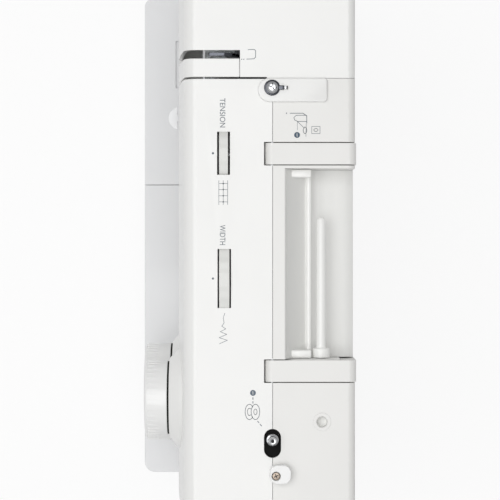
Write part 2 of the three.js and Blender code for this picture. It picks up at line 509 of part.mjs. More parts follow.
function addNeedleWorks() {
  add('needle_bar', 'chrome', rod('z', 3.5, CLAMP_Z + 2, 285, [NEEDLE_X, 0], 16));
  const clampBore = rod('z', 3.8, CLAMP_Z + 1.5, CLAMP_Z + 11, [NEEDLE_X, 0], 16);
  const clamp = rod('z', 5, CLAMP_Z, CLAMP_Z + 10, [NEEDLE_X, 0], 16).subtract(clampBore);
  const screw = rod('x', 3, NEEDLE_X + 4.6, NEEDLE_X + 11, [0, CLAMP_Z + 5.5], 12);
  const needleBore = rod('z', 1.3, CLAMP_Z - 1, CLAMP_Z + 2, [NEEDLE_X, 0], 10);
  add('needle_clamp', 'chrome', clamp.subtract(needleBore).add(screw));
  const tip = BED_Z + 5;
  const needle = [[0, tip], [0.5, tip + 3], [0.5, tip + 26], [1, tip + 28], [1, CLAMP_Z + 1.7],
    [0, CLAMP_Z + 1.7]];
  add('needle', 'steel', turned('z', needle, [NEEDLE_X, 0, 0], 10));
  const bracket = box(NEEDLE_X - 6, NEEDLE_X + 7, -6, 6, 220,
    230).subtract(rod('z', 3.8, 210, 240, [NEEDLE_X, 0], 16));
  const link = box(NEEDLE_X + 4.2, NEEDLE_X + 7, -3.5, 3.5, 222, 248);
  add('needle_link', 'cast', bracket.add(link));
  add('presser_bar', 'chrome', rod('z', 3, BED_Z + 22, 272, [NEEDLE_X, PRESSER_Y], 16));
  const collar = ring('z', 3.3, 6, 188, 196, [NEEDLE_X, PRESSER_Y], 16);
  add('presser_collar', 'cast', collar.add(box(NEEDLE_X - 4, NEEDLE_X + 4, PRESSER_Y + 5, PRESSER_Y + 8,
    188, 192)));
  const holder = box(NEEDLE_X - 4, NEEDLE_X + 4, PRESSER_Y - 4, PRESSER_Y + 4, BED_Z + 8, BED_Z + 22 - GAP);
  const ankle = box(NEEDLE_X - 3, NEEDLE_X + 3, PRESSER_Y - 4, PRESSER_Y + 4, FOOT_Z + 1, BED_Z + 9);
  const sole = slab('z', roundedRect(NEEDLE_X - 9, NEEDLE_X + 9, -13, 17, 3), FOOT_Z, FOOT_Z + 2);
  const slot = slab('z', roundedRect(NEEDLE_X - 4.5, NEEDLE_X + 4.5, -1.5, 1.5, 1.4), FOOT_Z - 1, FOOT_Z + 3);
  const toes = box(NEEDLE_X - 1.6, NEEDLE_X + 1.6, -14, -3, FOOT_Z - 1, FOOT_Z + 3);
  add('presser_foot', 'chrome', join(holder, ankle, cut(sole, slot, toes)));
  const lifter = join(rod('x', 5, NEEDLE_X - 3, NEEDLE_X + 3, [20.6, 168.7], 16),
    slab('x', [[19, 172], [17.2, 166.6], [44, 148], [53, 147], [53, 151], [46, 153]], NEEDLE_X - 3,
      NEEDLE_X + 3));
  add('presser_lifter', 'black', lifter);
  add('take_up_lever', 'chrome', takeUpLever());
}

function takeUpLever() {
  const { x, y, z } = TAKE_UP;
  const outline = [[y - 3, z + 1], [y + 3, z + 4], [-9, 283], [-7.5, 286], [-13, 289], [-23, 288], [-24, 285],
    [-16, 284.5]];
  const arm = slab('x', outline, x - 1, x + 1);
  const hub = rod('x', 5, x - 1, x + 1, [y, z], 16);
  return cut(join(arm, hub), rod('x', 2.8, x - 2, x + 2, [y, z], 12),
    rod('x', 1, x - 2, x + 2, [-20, 286.6], 10));
}

function addBobbinWorks() {
  const centre = [HOOK.x, HOOK.y];
  const low = BED_Z - 30;
  const cup = [[0, low + 3], [HOOK.r, low + 3], [HOOK.r, low + 18], [HOOK.r - 1.6, low + 18],
    [HOOK.r - 1.6, low + 5],
    [0, low + 5]];
  const stem = rod('z', 3, low - 2, low + 4, centre, 12);
  add('hook', 'steel', turned('z', cup, [...centre, 0], 28).add(stem));
  const caseR = HOOK.r - 2;
  const caseWall = [[0, low + 5.4], [caseR, low + 5.4], [caseR, low + 19], [caseR - 1.2, low + 19],
    [caseR - 1.2, low + 6.6], [0, low + 6.6]];
  const lip = box(centre[0] - 16, centre[0] - 11.6, centre[1] - 2, centre[1] + 2, low + 18.4, low + 21);
  const spigot = rod('z', 2.2, low + 6, low + 18, centre, 12);
  add('bobbin_case', 'black', join(turned('z', caseWall, [...centre, 0], 28), lip, spigot));
  const flange = (z) => ring('z', 2.6, 10.4, z, z + 1, centre, 28);
  add('bobbin', 'clear', join(flange(low + 7), flange(low + 18),
    ring('z', 2.6, 4, low + 7, low + 19, centre, 20)));
  const bearing = box(centre[0] - 8, centre[0] + 8, centre[1] - 7, centre[1] + 7,
    FREE_ARM_UNDER_Z + WALL + GAP, low + 2.6);
  add('hook_bearing', 'cast', bearing.subtract(rod('z', 3.3, low - 3, low + 12, centre, 14)));
  const rows = [-4.5, 4.5].map((dx) => box(NEEDLE_X + dx - 1.1, NEEDLE_X + dx + 1.1, 5, 18, low + 24,
    BED_Z - 1.2));
  const front = box(NEEDLE_X - 8.2, NEEDLE_X - 6.2, -2, 12, low + 24, BED_Z - 1.2);
  const tray = box(NEEDLE_X - 8.2, NEEDLE_X + 6, 5, 24, low + 19.5, low + 25);
  const carrier = box(NEEDLE_X - 8, NEEDLE_X + 8, 16, PLATE_Y[0] + 4, low + 12, low + 20);
  const seat = box(-200, -100, PLATE_Y[0] - GAP, 40, low + 2, BED_Z - 12 + GAP);
  add('feed_dog', 'steel', join(tray, carrier.subtract(seat), ...rows, front));
}

function addHead() {
  const post = box(NEEDLE_X - 30, NEEDLE_X - 22, 30, 40, HEAD_UNDER_Z + 10, 199);
  const arm = box(NEEDLE_X - 30, NEEDLE_X - 16, 22, 32, 190, 199);
  const bulb = turned('z', [[0, HEAD_UNDER_Z + 1], [4.5, HEAD_UNDER_Z + 2], [4.9, HEAD_UNDER_Z + 12],
    [0, HEAD_UNDER_Z + 12]], [NEEDLE_X - 26, 35, 0], 16);
  add('lamp', 'white', join(post, arm, bulb).subtract(box(-165.3, -100, 20, 30, 150, 230)));
}

// ---------------------------------------------------------------- controls
function thumbwheel(dial) {
  const z = TOP_Z + dial.proud - dial.r;
  const half = dial.width / 2;
  const disc = rod('y', dial.r, dial.y - half, dial.y + half, [dial.x, z], 48);
  return disc.add(rod('y', 3, dial.y, PLATE_Y[0] + 0.5, [dial.x, z], 14));
}

function frontDial(dial) {
  const face = DIAL_BACK_Y - GAP - dial.depth;
  const points = [[0, face], [dial.r - 2, face], [dial.r, face + 2], [dial.r, DIAL_BACK_Y - GAP],
    [STEM_R, DIAL_BACK_Y - GAP], [STEM_R, FRONT_Y + 14], [0, FRONT_Y + 14]];
  return turned('y', points, [dial.x, 0, dial.z], 48);
}

function addControls() {
  add('tension_dial', 'white', thumbwheel(TENSION));
  add('width_dial', 'white', thumbwheel(WIDTH));
  add('length_dial', 'white', frontDial(LENGTH_DIAL));
  add('pattern_dial', 'white', frontDial(PATTERN_DIAL));
  const disc = rod('z', LEVER.r, LEVER.z - 2, LEVER.z + 2, [LEVER.x, LEVER.y], 24);
  const pad = disc.intersect(box(-200, 0, -200, FRONT_Y - 1.2, 0, 300));
  const stem = box(LEVER.x - 2.5, LEVER.x + 2.5, LEVER.y - 3, LEVER.pivotY, LEVER.z - 2, LEVER.z + 2);
  const hub = rod('x', 4, LEVER.x - 5, LEVER.x + 5, [LEVER.pivotY, LEVER.z], 16);
  const axle = rod('x', 2, LEVER.x, -88.5, [LEVER.pivotY, LEVER.z], 12);
  add('reverse_lever', 'white', join(pad, stem, hub, axle));
}

function addTopFittings() {
  const padTop = TOP_Z + GAP;
  const pad = slab('z', roundedRect(-122, -105.9, 10, 57, 7), padTop, padTop + 2.2);
  add('thread_guide_pad', 'white', pad);
  const z = padTop + 2.2 + GAP;
  const disc = turned('z', [[0, z], [5.5, z], [5.5, z + 1.4], [3, z + 2.4], [3, z + 4], [0, z + 4]],
    [-115.4, COVER_SEAM_Y - 0.4, 0], 28);
  const tail = box(-116.4, -114.4, 23, 30.5, z, z + 1.4);
  add('pretension_disc', 'chrome', disc.add(tail));
  const { spindleX, y } = WINDER;
  const plateTop = INNER_TOP_Z - GAP;
  const plate = slab('z', roundedRect(spindleX - 14, spindleX + 16, y - 11, y + 11, 4), plateTop - 4,
    plateTop);
  add('winder_slide', 'black', plate.subtract(rod('z', 2.8, plateTop - 5, plateTop + 1, [spindleX, y], 14)));
  const spindle = [[0, plateTop - 6], [2.5, plateTop - 6], [2.5, plateTop + GAP], [4.2, plateTop + GAP],
    [4.2, TOP_Z + 1], [2.9, TOP_Z + 1.5], [2.9, TOP_Z + 10], [0, TOP_Z + 11.5]];
  add('winder_spindle', 'chrome', turned('z', spindle, [spindleX, y, 0], 20));
  const { x0, x1, y0, y1, screwX, screwY } = STOPPER;
  const knob = slab('z', roundedRect(x0, x1, y0, y1, 5.5), TOP_Z + GAP, TOP_Z + 9);
  add('winder_stopper', 'white', knob.subtract(rod('z', 3, TOP_Z + 6.5, TOP_Z + 12, [screwX, screwY], 16)));
  add('stopper_screw', 'chrome', rod('z', 2.7, TOP_Z + 6.5 + GAP, TOP_Z + 8.8, [screwX, screwY], 16));
}

function addSpoolPin() {
  const { y, z, r, tipX, collarR, collarW } = SPOOL_PIN;
  const end = RECESS.x1 - GAP;
  const points = [[0, tipX], [r * 0.7, tipX + 0.6], [r, tipX + 2.5], [r, end - collarW],
    [collarR, end - collarW],
    [collarR, end], [0, end]];
  add('spool_pin', 'white', turned('x', points, [0, y, z], 20));
}

function addHandle() {
  const top = TOP_Z;
  const under = TOP_Z - HANDLE_T;
  const rear = HANDLE_REAR_Y;
  const { pivotY, armW, x0, x1, gripH, gripT, gripZ } = HANDLE;
  const outline = new THREE.Shape();
  outline.moveTo(pivotY, under);
  outline.lineTo(rear - HANDLE_T, under);
  outline.lineTo(rear - HANDLE_T, gripZ);
  outline.lineTo(rear, gripZ);
  outline.lineTo(rear, top - 5);
  outline.absarc(rear - 5, top - 5, 5, 0, Math.PI / 2);
  outline.lineTo(pivotY, top);
  outline.absarc(pivotY, PIVOT_Z, HANDLE_T / 2, Math.PI / 2, Math.PI * 1.5);
  const arms = [x0, x1 - armW].map((x) => slab('x', outline, x, x + armW));
  const grip = slab('x', roundedRect(rear - gripT, rear, gripZ, gripZ + gripH, 5), x0, x1);
  const bores = [x0, x1 - armW].map((x) => rod('x', 2 + GAP, x - 1, x + armW + 1, [pivotY, PIVOT_Z], 12));
  add('carry_handle', 'warm', cut(join(...arms, grip), ...bores));
  const air = HANDLE_AIR + 1;
  for (const [side, x] of [['left', x0], ['right', x1 - armW]]) {
    add(`handle_pin_${side}`, 'steel', rod('x', 2, x - air, x + armW + air, [pivotY, PIVOT_Z], 12));
  }
}

addCasing();
addThreadInsert();
addBase();
addPower();
addFreeArm();
addNeedlePlate();
addExtensionTable();
addFrame();
addDrive();
addNeedleWorks();
addBobbinWorks();
addHead();
addControls();
addTopFittings();
addSpoolPin();
addHandle();

export default machine;
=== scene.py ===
# A home sewing machine, dressed over its CAD frame. Metres throughout.
import json
import math

import bmesh
import bpy
from mathutils import Matrix, Vector


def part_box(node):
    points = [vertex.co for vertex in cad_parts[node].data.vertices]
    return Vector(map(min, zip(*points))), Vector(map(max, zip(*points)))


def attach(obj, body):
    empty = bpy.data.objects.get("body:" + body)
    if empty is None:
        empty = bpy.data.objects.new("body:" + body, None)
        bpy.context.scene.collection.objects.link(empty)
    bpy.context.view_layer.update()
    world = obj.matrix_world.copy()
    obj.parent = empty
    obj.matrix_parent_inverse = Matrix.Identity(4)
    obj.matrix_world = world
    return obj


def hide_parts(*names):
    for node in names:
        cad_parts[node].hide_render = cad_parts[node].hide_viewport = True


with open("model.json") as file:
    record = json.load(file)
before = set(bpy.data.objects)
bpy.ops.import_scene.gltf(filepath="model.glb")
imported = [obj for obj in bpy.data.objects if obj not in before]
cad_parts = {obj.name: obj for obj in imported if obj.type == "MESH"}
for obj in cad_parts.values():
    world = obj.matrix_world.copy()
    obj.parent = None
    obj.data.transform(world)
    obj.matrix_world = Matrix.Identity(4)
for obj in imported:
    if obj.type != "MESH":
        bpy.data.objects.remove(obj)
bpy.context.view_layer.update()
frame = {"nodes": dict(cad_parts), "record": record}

nodes = frame["nodes"]
MM = 0.001
scene = bpy.context.scene


# ------------------------------------------------------------------ places taken from the frame
def lows(node):
    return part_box(node)[0]


def highs(node):
    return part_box(node)[1]


def middle(node):
    low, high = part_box(node)
    return (low + high) / 2


TOP = highs("front_cover").z
SEAM_Y = (highs("front_cover").y + lows("rear_cover").y) / 2
INK_LIFT = 0.06 * MM


# ------------------------------------------------------------------ camera
EYE_X = -5.2 * MM
EYE_Y = 4.6 * MM
EYE_ABOVE_TOP = 1.5
VIEW_WIDTH_AT_TOP = 0.34
SENSOR = 36.0


def make_camera():
    data = bpy.data.cameras.new("camera")
    data.sensor_width = SENSOR
    data.lens = SENSOR * EYE_ABOVE_TOP / VIEW_WIDTH_AT_TOP
    data.clip_start = 0.01
    eye = bpy.data.objects.new("camera", data)
    eye.location = (EYE_X, EYE_Y, TOP + EYE_ABOVE_TOP)
    eye.rotation_euler = (0, 0, math.pi / 2)
    scene.collection.objects.link(eye)
    scene.camera = eye


# ------------------------------------------------------------------ shader groups
def new_group(name, inputs, outputs):
    tree = bpy.data.node_groups.new(name, "ShaderNodeTree")
    for label, default in inputs:
        kind = "NodeSocketVector" if isinstance(default, tuple) else "NodeSocketFloat"
        socket = tree.interface.new_socket(label, in_out="INPUT", socket_type=kind)
        socket.default_value = default
    for label in outputs:
        tree.interface.new_socket(label, in_out="OUTPUT", socket_type="NodeSocketFloat")
    return tree, tree.nodes.new("NodeGroupInput"), tree.nodes.new("NodeGroupOutput")


def noise_in(tree, where, scale, detail, start, scale_socket=None):
    noise = tree.nodes.new("ShaderNodeTexNoise")
    noise.inputs["Scale"].default_value = scale
    noise.inputs["Detail"].default_value = detail
    tree.links.new(start.outputs[where], noise.inputs["Vector"])
    if scale_socket:
        tree.links.new(start.outputs[scale_socket], noise.inputs["Scale"])
    return noise.outputs["Fac"]


def mapped(tree, value, low, high, out_low, out_high):
    node = tree.nodes.new("ShaderNodeMapRange")
    node.inputs["From Min"].default_value = low
    node.inputs["From Max"].default_value = high
    node.inputs["To Min"].default_value = out_low
    node.inputs["To Max"].default_value = out_high
    tree.links.new(value, node.inputs["Value"])
    return node.outputs["Result"]


def math_node(tree, operation, first, second):
    node = tree.nodes.new("ShaderNodeMath")
    node.operation = operation
    for socket, value in zip(node.inputs, (first, second)):
        if isinstance(value, (int, float)):
            socket.default_value = value
        else:
            tree.links.new(value, socket)
    return node.outputs[0]


def moulding_group():
    """Spark-eroded grain of moulded plastic, with slow flow shading and rubbed, greasy patches."""
    tree, start, end = new_group(
        "moulding_surface",
        [("Place", (0.0, 0.0, 0.0)), ("Grain Scale", 900.0), ("Handling", 0.5)],
        ["Height", "Shade", "Rub", "Edge"],
    )
    grain = noise_in(tree, "Place", 900, 3, start, "Grain Scale")
    flow = noise_in(tree, "Place", 9, 3, start)
    smear = noise_in(tree, "Place", 38, 5, start)
    specks = noise_in(tree, "Place", 2600, 1, start)
    height = math_node(tree, "ADD", grain, math_node(tree, "MULTIPLY", flow, 0.6))
    shade = math_node(tree, "ADD", flow, mapped(tree, specks, 0.72, 0.8, 0.0, -0.3))
    rub = math_node(tree, "MULTIPLY", mapped(tree, smear, 0.48, 0.72, 0.0, 1.0), start.outputs["Handling"])
    point = tree.nodes.new("ShaderNodeNewGeometry").outputs["Pointiness"]
    edge = mapped(tree, point, 0.505, 0.56, 0.0, 1.0)
    for label, value in (("Height", height), ("Shade", shade), ("Rub", rub), ("Edge", edge)):
        tree.links.new(value, end.inputs[label])
    return tree


def metal_group():
    """Fine scratches and cloudy polish of plated and ground metal."""
    tree, start, end = new_group(
        "metal_surface",
        [("Place", (0.0, 0.0, 0.0)), ("Grain Scale", 700.0)],
        ["Scratch", "Cloud"],
    )
    stretch = tree.nodes.new("ShaderNodeMapping")
    stretch.inputs["Scale"].default_value = (0.06, 1.0, 1.0)
    tree.links.new(start.outputs["Place"], stretch.inputs["Vector"])
    lines = tree.nodes.new("ShaderNodeTexNoise")
    lines.inputs["Detail"].default_value = 4
    tree.links.new(stretch.outputs["Vector"], lines.inputs["Vector"])
    tree.links.new(start.outputs["Grain Scale"], lines.inputs["Scale"])
    cloud = noise_in(tree, "Place", 70, 3, start)
    tree.links.new(lines.outputs["Fac"], end.inputs["Scratch"])
    tree.links.new(cloud, end.inputs["Cloud"])
    return tree


MOULDING = moulding_group()
METAL = metal_group()


# ------------------------------------------------------------------ materials
def start_material(name):
    material = bpy.data.materials.new(name)
    material.use_nodes = True
    tree = material.node_tree
    shader = tree.nodes["Principled BSDF"]
    place = tree.nodes.new("ShaderNodeTexCoord").outputs["Object"]
    return material, tree, shader, place


def use_group(tree, group, place, **values):
    node = tree.nodes.new("ShaderNodeGroup")
    node.node_tree = group
    tree.links.new(place, node.inputs["Place"])
    for label, value in values.items():
        node.inputs[label.replace("_", " ")].default_value = value
    return node.outputs


def blend_colour(tree, mask, first, second):
    node = tree.nodes.new("ShaderNodeMix")
    node.data_type = "RGBA"
    tree.links.new(mask, node.inputs["Factor"])
    for socket, value in ((node.inputs[6], first), (node.inputs[7], second)):
        if isinstance(value, tuple):
            socket.default_value = (*value, 1)
        else:
            tree.links.new(value, socket)
    return node.outputs[2]


def bump(tree, shader, height, strength, distance):
    node = tree.nodes.new("ShaderNodeBump")
    node.inputs["Strength"].default_value = strength
    node.inputs["Distance"].default_value = distance
    tree.links.new(height, node.inputs["Height"])
    tree.links.new(node.outputs["Normal"], shader.inputs["Normal"])


def plastic(name, colour, roughness=0.34, coat=0.25, grain=900.0, handling=0.5, bump_depth=0.02 * MM,
            gloss=0.5):
    material, tree, shader, place = start_material(name)
    look = use_group(tree, MOULDING, place, Grain_Scale=grain, Handling=handling)
    dull = tuple(channel * 0.955 for channel in colour)
    worn = tuple(min(1.0, channel * 0.97 + 0.02) for channel in colour)
    shaded = blend_colour(tree, mapped(tree, look["Shade"], 0.35, 0.65, 0.0, 1.0), dull, colour)
    shader_colour = blend_colour(tree, look["Edge"], shaded, worn)
    tree.links.new(shader_colour, shader.inputs["Base Color"])
    rough = mapped(tree, look["Rub"], 0.0, 1.0, roughness, roughness + 0.12)
    tree.links.new(rough, shader.inputs["Roughness"])
    shader.inputs["Specular IOR Level"].default_value = gloss
    shader.inputs["Coat Weight"].default_value = coat
    shader.inputs["Coat Roughness"].default_value = 0.12
    bump(tree, shader, look["Height"], 0.25, bump_depth)
    return material


def metal(name, colour, roughness, grain=700.0, depth=0.01 * MM):
    material, tree, shader, place = start_material(name)
    look = use_group(tree, METAL, place, Grain_Scale=grain)
    dark = tuple(channel * 0.86 for channel in colour)
    tree.links.new(blend_colour(tree, look["Cloud"], dark, colour), shader.inputs["Base Color"])
    shader.inputs["Metallic"].default_value = 1.0
    tree.links.new(mapped(tree, look["Scratch"], 0.3, 0.7, roughness * 0.7, roughness * 1.5),
                   shader.inputs["Roughness"])
    bump(tree, shader, look["Scratch"], 0.2, depth)
    return material


def clear_plastic():
    material, tree, shader, place = start_material("clear_plastic")
    look = use_group(tree, METAL, place, Grain_Scale=300.0)
    tree.links.new(blend_colour(tree, look["Cloud"], (0.86, 0.9, 0.92), (0.93, 0.95, 0.96)),
                   shader.inputs["Base Color"])
    tree.links.new(mapped(tree, look["Scratch"], 0.3, 0.7, 0.04, 0.14), shader.inputs["Roughness"])
    shader.inputs["Transmission Weight"].default_value = 0.85
    shader.inputs["IOR"].default_value = 1.49
    return material


def ink(name, colour):
    """Pad-printed ink, slightly broken where the pad lifted."""
    material, tree, shader, place = start_material(name)
    look = use_group(tree, MOULDING, place, Grain_Scale=2500.0)
    pale = tuple(channel * 0.6 + 0.4 * 0.8 for channel in colour)
    tree.links.new(blend_colour(tree, mapped(tree, look["Height"], 0.75, 1.05, 0.0, 0.6), colour, pale),
                   shader.inputs["Base Color"])
    shader.inputs["Roughness"].default_value = 0.5
    return material


WHITE = plastic("white_moulding", (0.88, 0.88, 0.865), 0.28, 0.35)
WARM = plastic("warm_white_moulding", (0.84, 0.835, 0.815), 0.36, 0.15)
LINER = plastic("recess_moulding", (0.86, 0.86, 0.84), 0.42, 0.1)
# A paler moulding for the spool pin and the recess ledges; on the recess ridge its extra brightness is a
# painted highlight.
PALE_MOULDING_AND_HIGHLIGHT = plastic("pale_moulding_and_painted_highlight", (0.97, 0.97, 0.95), 0.3, 0.3)
# The bed's own cool grey; on the reverse lever it is painted shade, darkening the lever that sits in shadow.
COOL_BED_AND_LEVER_SHADE = plastic("cool_bed_moulding_and_lever_painted_shade", (0.80, 0.805, 0.815), 0.34, 0.2)
DIAL = plastic("dial_moulding", (0.88, 0.88, 0.875), 0.3, 0.3)
WHEEL_RIM = plastic("thumbwheel_moulding", (0.80, 0.80, 0.775), 0.42, 0.05)
# Black moulding for the black plastic parts; also used for small black marks that are painted shade (the
# screw's cross recess, the winder spindle's bore) and painted reflections (flecks on the pretension stud).
BLACK_PARTS_SHADE_AND_REFLECTION = plastic("black_moulding", (0.010, 0.010, 0.011), 0.6, 0.0, handling=0.8)
# Matt black for the winder slide; the same black, as a ring behind each front dial, is a painted shadow.
DEEP_BLACK_AND_SHADOW = plastic("matt_black_and_painted_shadow", (0.003, 0.003, 0.003), 0.8, 0.0, gloss=0.08)
RUBBER = plastic("foot_rubber", (0.03, 0.03, 0.032), 0.8, 0.0, 1500.0)
TOOTHED = plastic("belt_rubber", (0.02, 0.02, 0.022), 0.7, 0.0, 1800.0)
CHROME = metal("chrome_plate", (0.62, 0.63, 0.65), 0.14)
# Chrome darkened to near black. On the take-up lever this is painted shade, for the lever down in its slot;
# the pretension plates and guide take it as their dark tone.
DARK_CHROME = metal("shaded_chrome", (0.10, 0.105, 0.12), 0.22)
SCREW_STEEL = metal("bronzed_screw_steel", (0.42, 0.35, 0.29), 0.34)
STEEL = metal("ground_steel", (0.60, 0.61, 0.63), 0.32)
CAST = metal("sand_cast_alloy", (0.30, 0.31, 0.33), 0.55, 1400.0, 0.08 * MM)
CLEAR = clear_plastic()
GREY_INK = ink("grey_blue_ink", (0.11, 0.14, 0.17))
BLUE_INK = ink("deep_blue_ink", (0.045, 0.085, 0.13))
FAINT_INK = ink("faint_grey_ink", (0.55, 0.57, 0.60))
SLOT_MATERIAL = {
    "white_cover": WHITE, "warm_cover": WARM, "cool_bed": COOL_BED_AND_LEVER_SHADE, "black_plastic": BLACK_PARTS_SHADE_AND_REFLECTION, "rubber": RUBBER,
    "chrome": CHROME, "steel": STEEL, "casting": CAST, "clear_plastic": CLEAR,
}
OWN_MATERIAL = {
    # The reverse lever takes the bed's darker moulding as painted shade.
    "drive_belt": TOOTHED, "timing_belt": TOOTHED, "winder_stopper": DIAL, "reverse_lever": COOL_BED_AND_LEVER_SHADE,
    # The take-up lever's darkened chrome is painted shade, for the lever down in its slot.
    "winder_slide": DEEP_BLACK_AND_SHADOW, "take_up_lever": DARK_CHROME,
    "carry_handle": WARM, "thread_guide_pad": WHITE,
}


# ------------------------------------------------------------------ pieces from the frame
BEVEL = {
    "front_cover": 1.2, "rear_cover": 1.2, "face_cover": 1.2, "base_cover": 1.6, "extension_table": 1.6,
    "free_arm_cover": 1.0, "carry_handle": 0.5, "thread_guide_pad": 0.7, "winder_stopper": 1.2,
    "accessory_lid": 0.5, "base_plate": 0.8, "frame_casting": 0.6, "presser_foot": 0.4,
    "reverse_lever": 0.9, "thread_channel_insert": 0.5, "power_inlet": 0.5, "power_switch": 0.8,
}
FINE_BEVEL = 0.25
CREASE = math.radians(32)


def soften(node, width):
    """Rounds a CAD node's hard edges: weld, drop flat seams, bevel, then shade by face size."""
    piece = nodes[node]
    weld = piece.modifiers.new("weld", "WELD")
    weld.merge_threshold = 0.004 * MM
    flat = piece.modifiers.new("flat", "DECIMATE")
    flat.decimate_type = "DISSOLVE"
    flat.angle_limit = math.radians(0.6)
    bevel = piece.modifiers.new("bevel", "BEVEL")
    bevel.width = width * MM
    bevel.segments = 3
    bevel.limit_method = "ANGLE"
    bevel.angle_limit = CREASE
    bevel.harden_normals = False
    shade = piece.modifiers.new("shade", "WEIGHTED_NORMAL")
    shade.keep_sharp = True
    for face in piece.data.polygons:
        face.use_smooth = True


def dress_frame():
    for row in frame["record"]["subparts"]:
        node = row["node"]
        piece = nodes[node]
        material = OWN_MATERIAL.get(node, SLOT_MATERIAL[row["material_slot"]])
        piece.data.materials.clear()
        piece.data.materials.append(material)
        soften(node, BEVEL.get(node, FINE_BEVEL))


# ------------------------------------------------------------------ mesh helpers
def settle(bm, name, material, body, smooth=True, replaced=()):
    """Closes a bmesh into a piece that rides on a body."""
    mesh = bpy.data.meshes.new(name)
    bmesh.ops.recalc_face_normals(bm, faces=bm.faces)
    bm.to_mesh(mesh)
    bm.free()
    piece = bpy.data.objects.new(name, mesh)
    scene.collection.objects.link(piece)
    mesh.materials.append(material)
    if smooth:
        for face in mesh.polygons:
            face.use_smooth = True
        mesh.set_sharp_from_angle(angle=CREASE)
    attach(piece, body)
    if replaced:
        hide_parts(*replaced)
    return piece


def bevel_sharp(bm, width, segments=3, angle=CREASE):
    edges = [e for e in bm.edges if len(e.link_faces) == 2 and e.calc_face_angle() > angle]
    bmesh.ops.bevel(bm, geom=edges, offset=width, offset_type="OFFSET", segments=segments, profile=0.5,
                    affect="EDGES", material=-1, clamp_overlap=True)


def turn_to(axis):
    return {"x": Matrix.Rotation(math.pi / 2, 4, "Y"), "y": Matrix.Rotation(-math.pi / 2, 4, "X"),
            "z": Matrix.Identity(4)}[axis]


def lathe(bm, points, axis, centre, steps=64):
    """Spins [radius, height] points about an axis through centre; the ends lie on the axis."""
    turn = Matrix.Translation(centre) @ turn_to(axis)
    verts = [bm.verts.new(turn @ Vector((r, 0, h))) for r, h in points]
    edges = [bm.edges.new(pair) for pair in zip(verts, verts[1:])]
    bmesh.ops.spin(bm, geom=verts + edges, cent=centre, axis=turn.to_3x3() @ Vector((0, 0, 1)),
                   angle=2 * math.pi, steps=steps, use_merge=True, use_duplicate=False)
    bmesh.ops.remove_doubles(bm, verts=bm.verts, dist=1e-6)


def bar(bm, low, high):
    """A rectangular block between two corners."""
    low, high = Vector(low), Vector(high)
    size = Matrix.Diagonal((*(high - low), 1))
    return bmesh.ops.create_cube(bm, size=1, matrix=Matrix.Translation((low + high) / 2) @ size)["verts"]


def dash(bm, start, end, width, lift, thick=0.04 * MM):
    """A printed stroke lying on a level face."""
    start, end = Vector(start), Vector(end)
    along = end - start
    angle = math.atan2(along.y, along.x)
    spot = Matrix.Translation(((start.x + end.x) / 2, (start.y + end.y) / 2, lift))
    shape = Matrix.Diagonal((along.length + width * 0.6, width, thick, 1))
    bmesh.ops.create_cube(bm, size=1, matrix=spot @ Matrix.Rotation(angle, 4, "Z") @ shape)


def dot(bm, x, y, r, lift, thick=0.04 * MM, stretch=1.0):
    spot = Matrix.Translation((x, y, lift)) @ Matrix.Diagonal((1, stretch, 1, 1))
    bmesh.ops.create_cone(bm, cap_ends=True, segments=28, radius1=r, radius2=r, depth=thick, matrix=spot)


def loop_stroke(bm, x, y, rx, ry, width, lift, steps=28):
    """A printed ring or oval."""
    spots = [(x + rx * math.cos(k * 2 * math.pi / steps), y + ry * math.sin(k * 2 * math.pi / steps))
             for k in range(steps + 1)]
    for a, b in zip(spots, spots[1:]):
        dash(bm, (*a, 0), (*b, 0), width, lift)


def arc_stroke(bm, centre, radii, span, width, lift, start=0, steps=22):
    """Part of a printed oval; millimetres and degrees."""
    first, last = (math.radians(start + turn + 180) for turn in span)
    spots = [((centre[0] + radii[0] * math.cos(a)) * MM, (centre[1] + radii[1] * math.sin(a)) * MM)
             for a in (first + (last - first) * k / steps for k in range(steps + 1))]
    polyline(bm, spots, width * MM, lift)


def polyline(bm, spots, width, lift):
    for a, b in zip(spots, spots[1:]):
        dash(bm, (*a, 0), (*b, 0), width, lift)


def words(name, text, x0, x1, y_low, height, material):
    """Printed capitals on the arm's top, reading along X with their heads to the rear."""
    curve = bpy.data.curves.new(name, "FONT")
    curve.body = text
    curve.extrude = 0.02 * MM
    curve.size = 0.01
    raw = bpy.data.objects.new(name + "_raw", curve)
    scene.collection.objects.link(raw)
    bpy.context.view_layer.update()
    mesh = bpy.data.meshes.new_from_object(raw.evaluated_get(bpy.context.evaluated_depsgraph_get()))
    bpy.data.objects.remove(raw)
    xs = [v.co.x for v in mesh.vertices]
    ys = [v.co.y for v in mesh.vertices]
    fit = Matrix.Diagonal(((x1 - x0) / (max(xs) - min(xs)), height / (max(ys) - min(ys)), 1, 1))
    mesh.transform(Matrix.Translation((x0, y_low, TOP + INK_LIFT)) @ fit
                   @ Matrix.Translation((-min(xs), -min(ys), 0)))
    bm = bmesh.new()
    bm.from_mesh(mesh)
    bmesh.ops.remove_doubles(bm, verts=bm.verts, dist=1e-7)
    return settle(bm, name, material, "root", smooth=False)


# ------------------------------------------------------------------ printing on the arm
def millimetres(*values):
    return [value * MM for value in values]


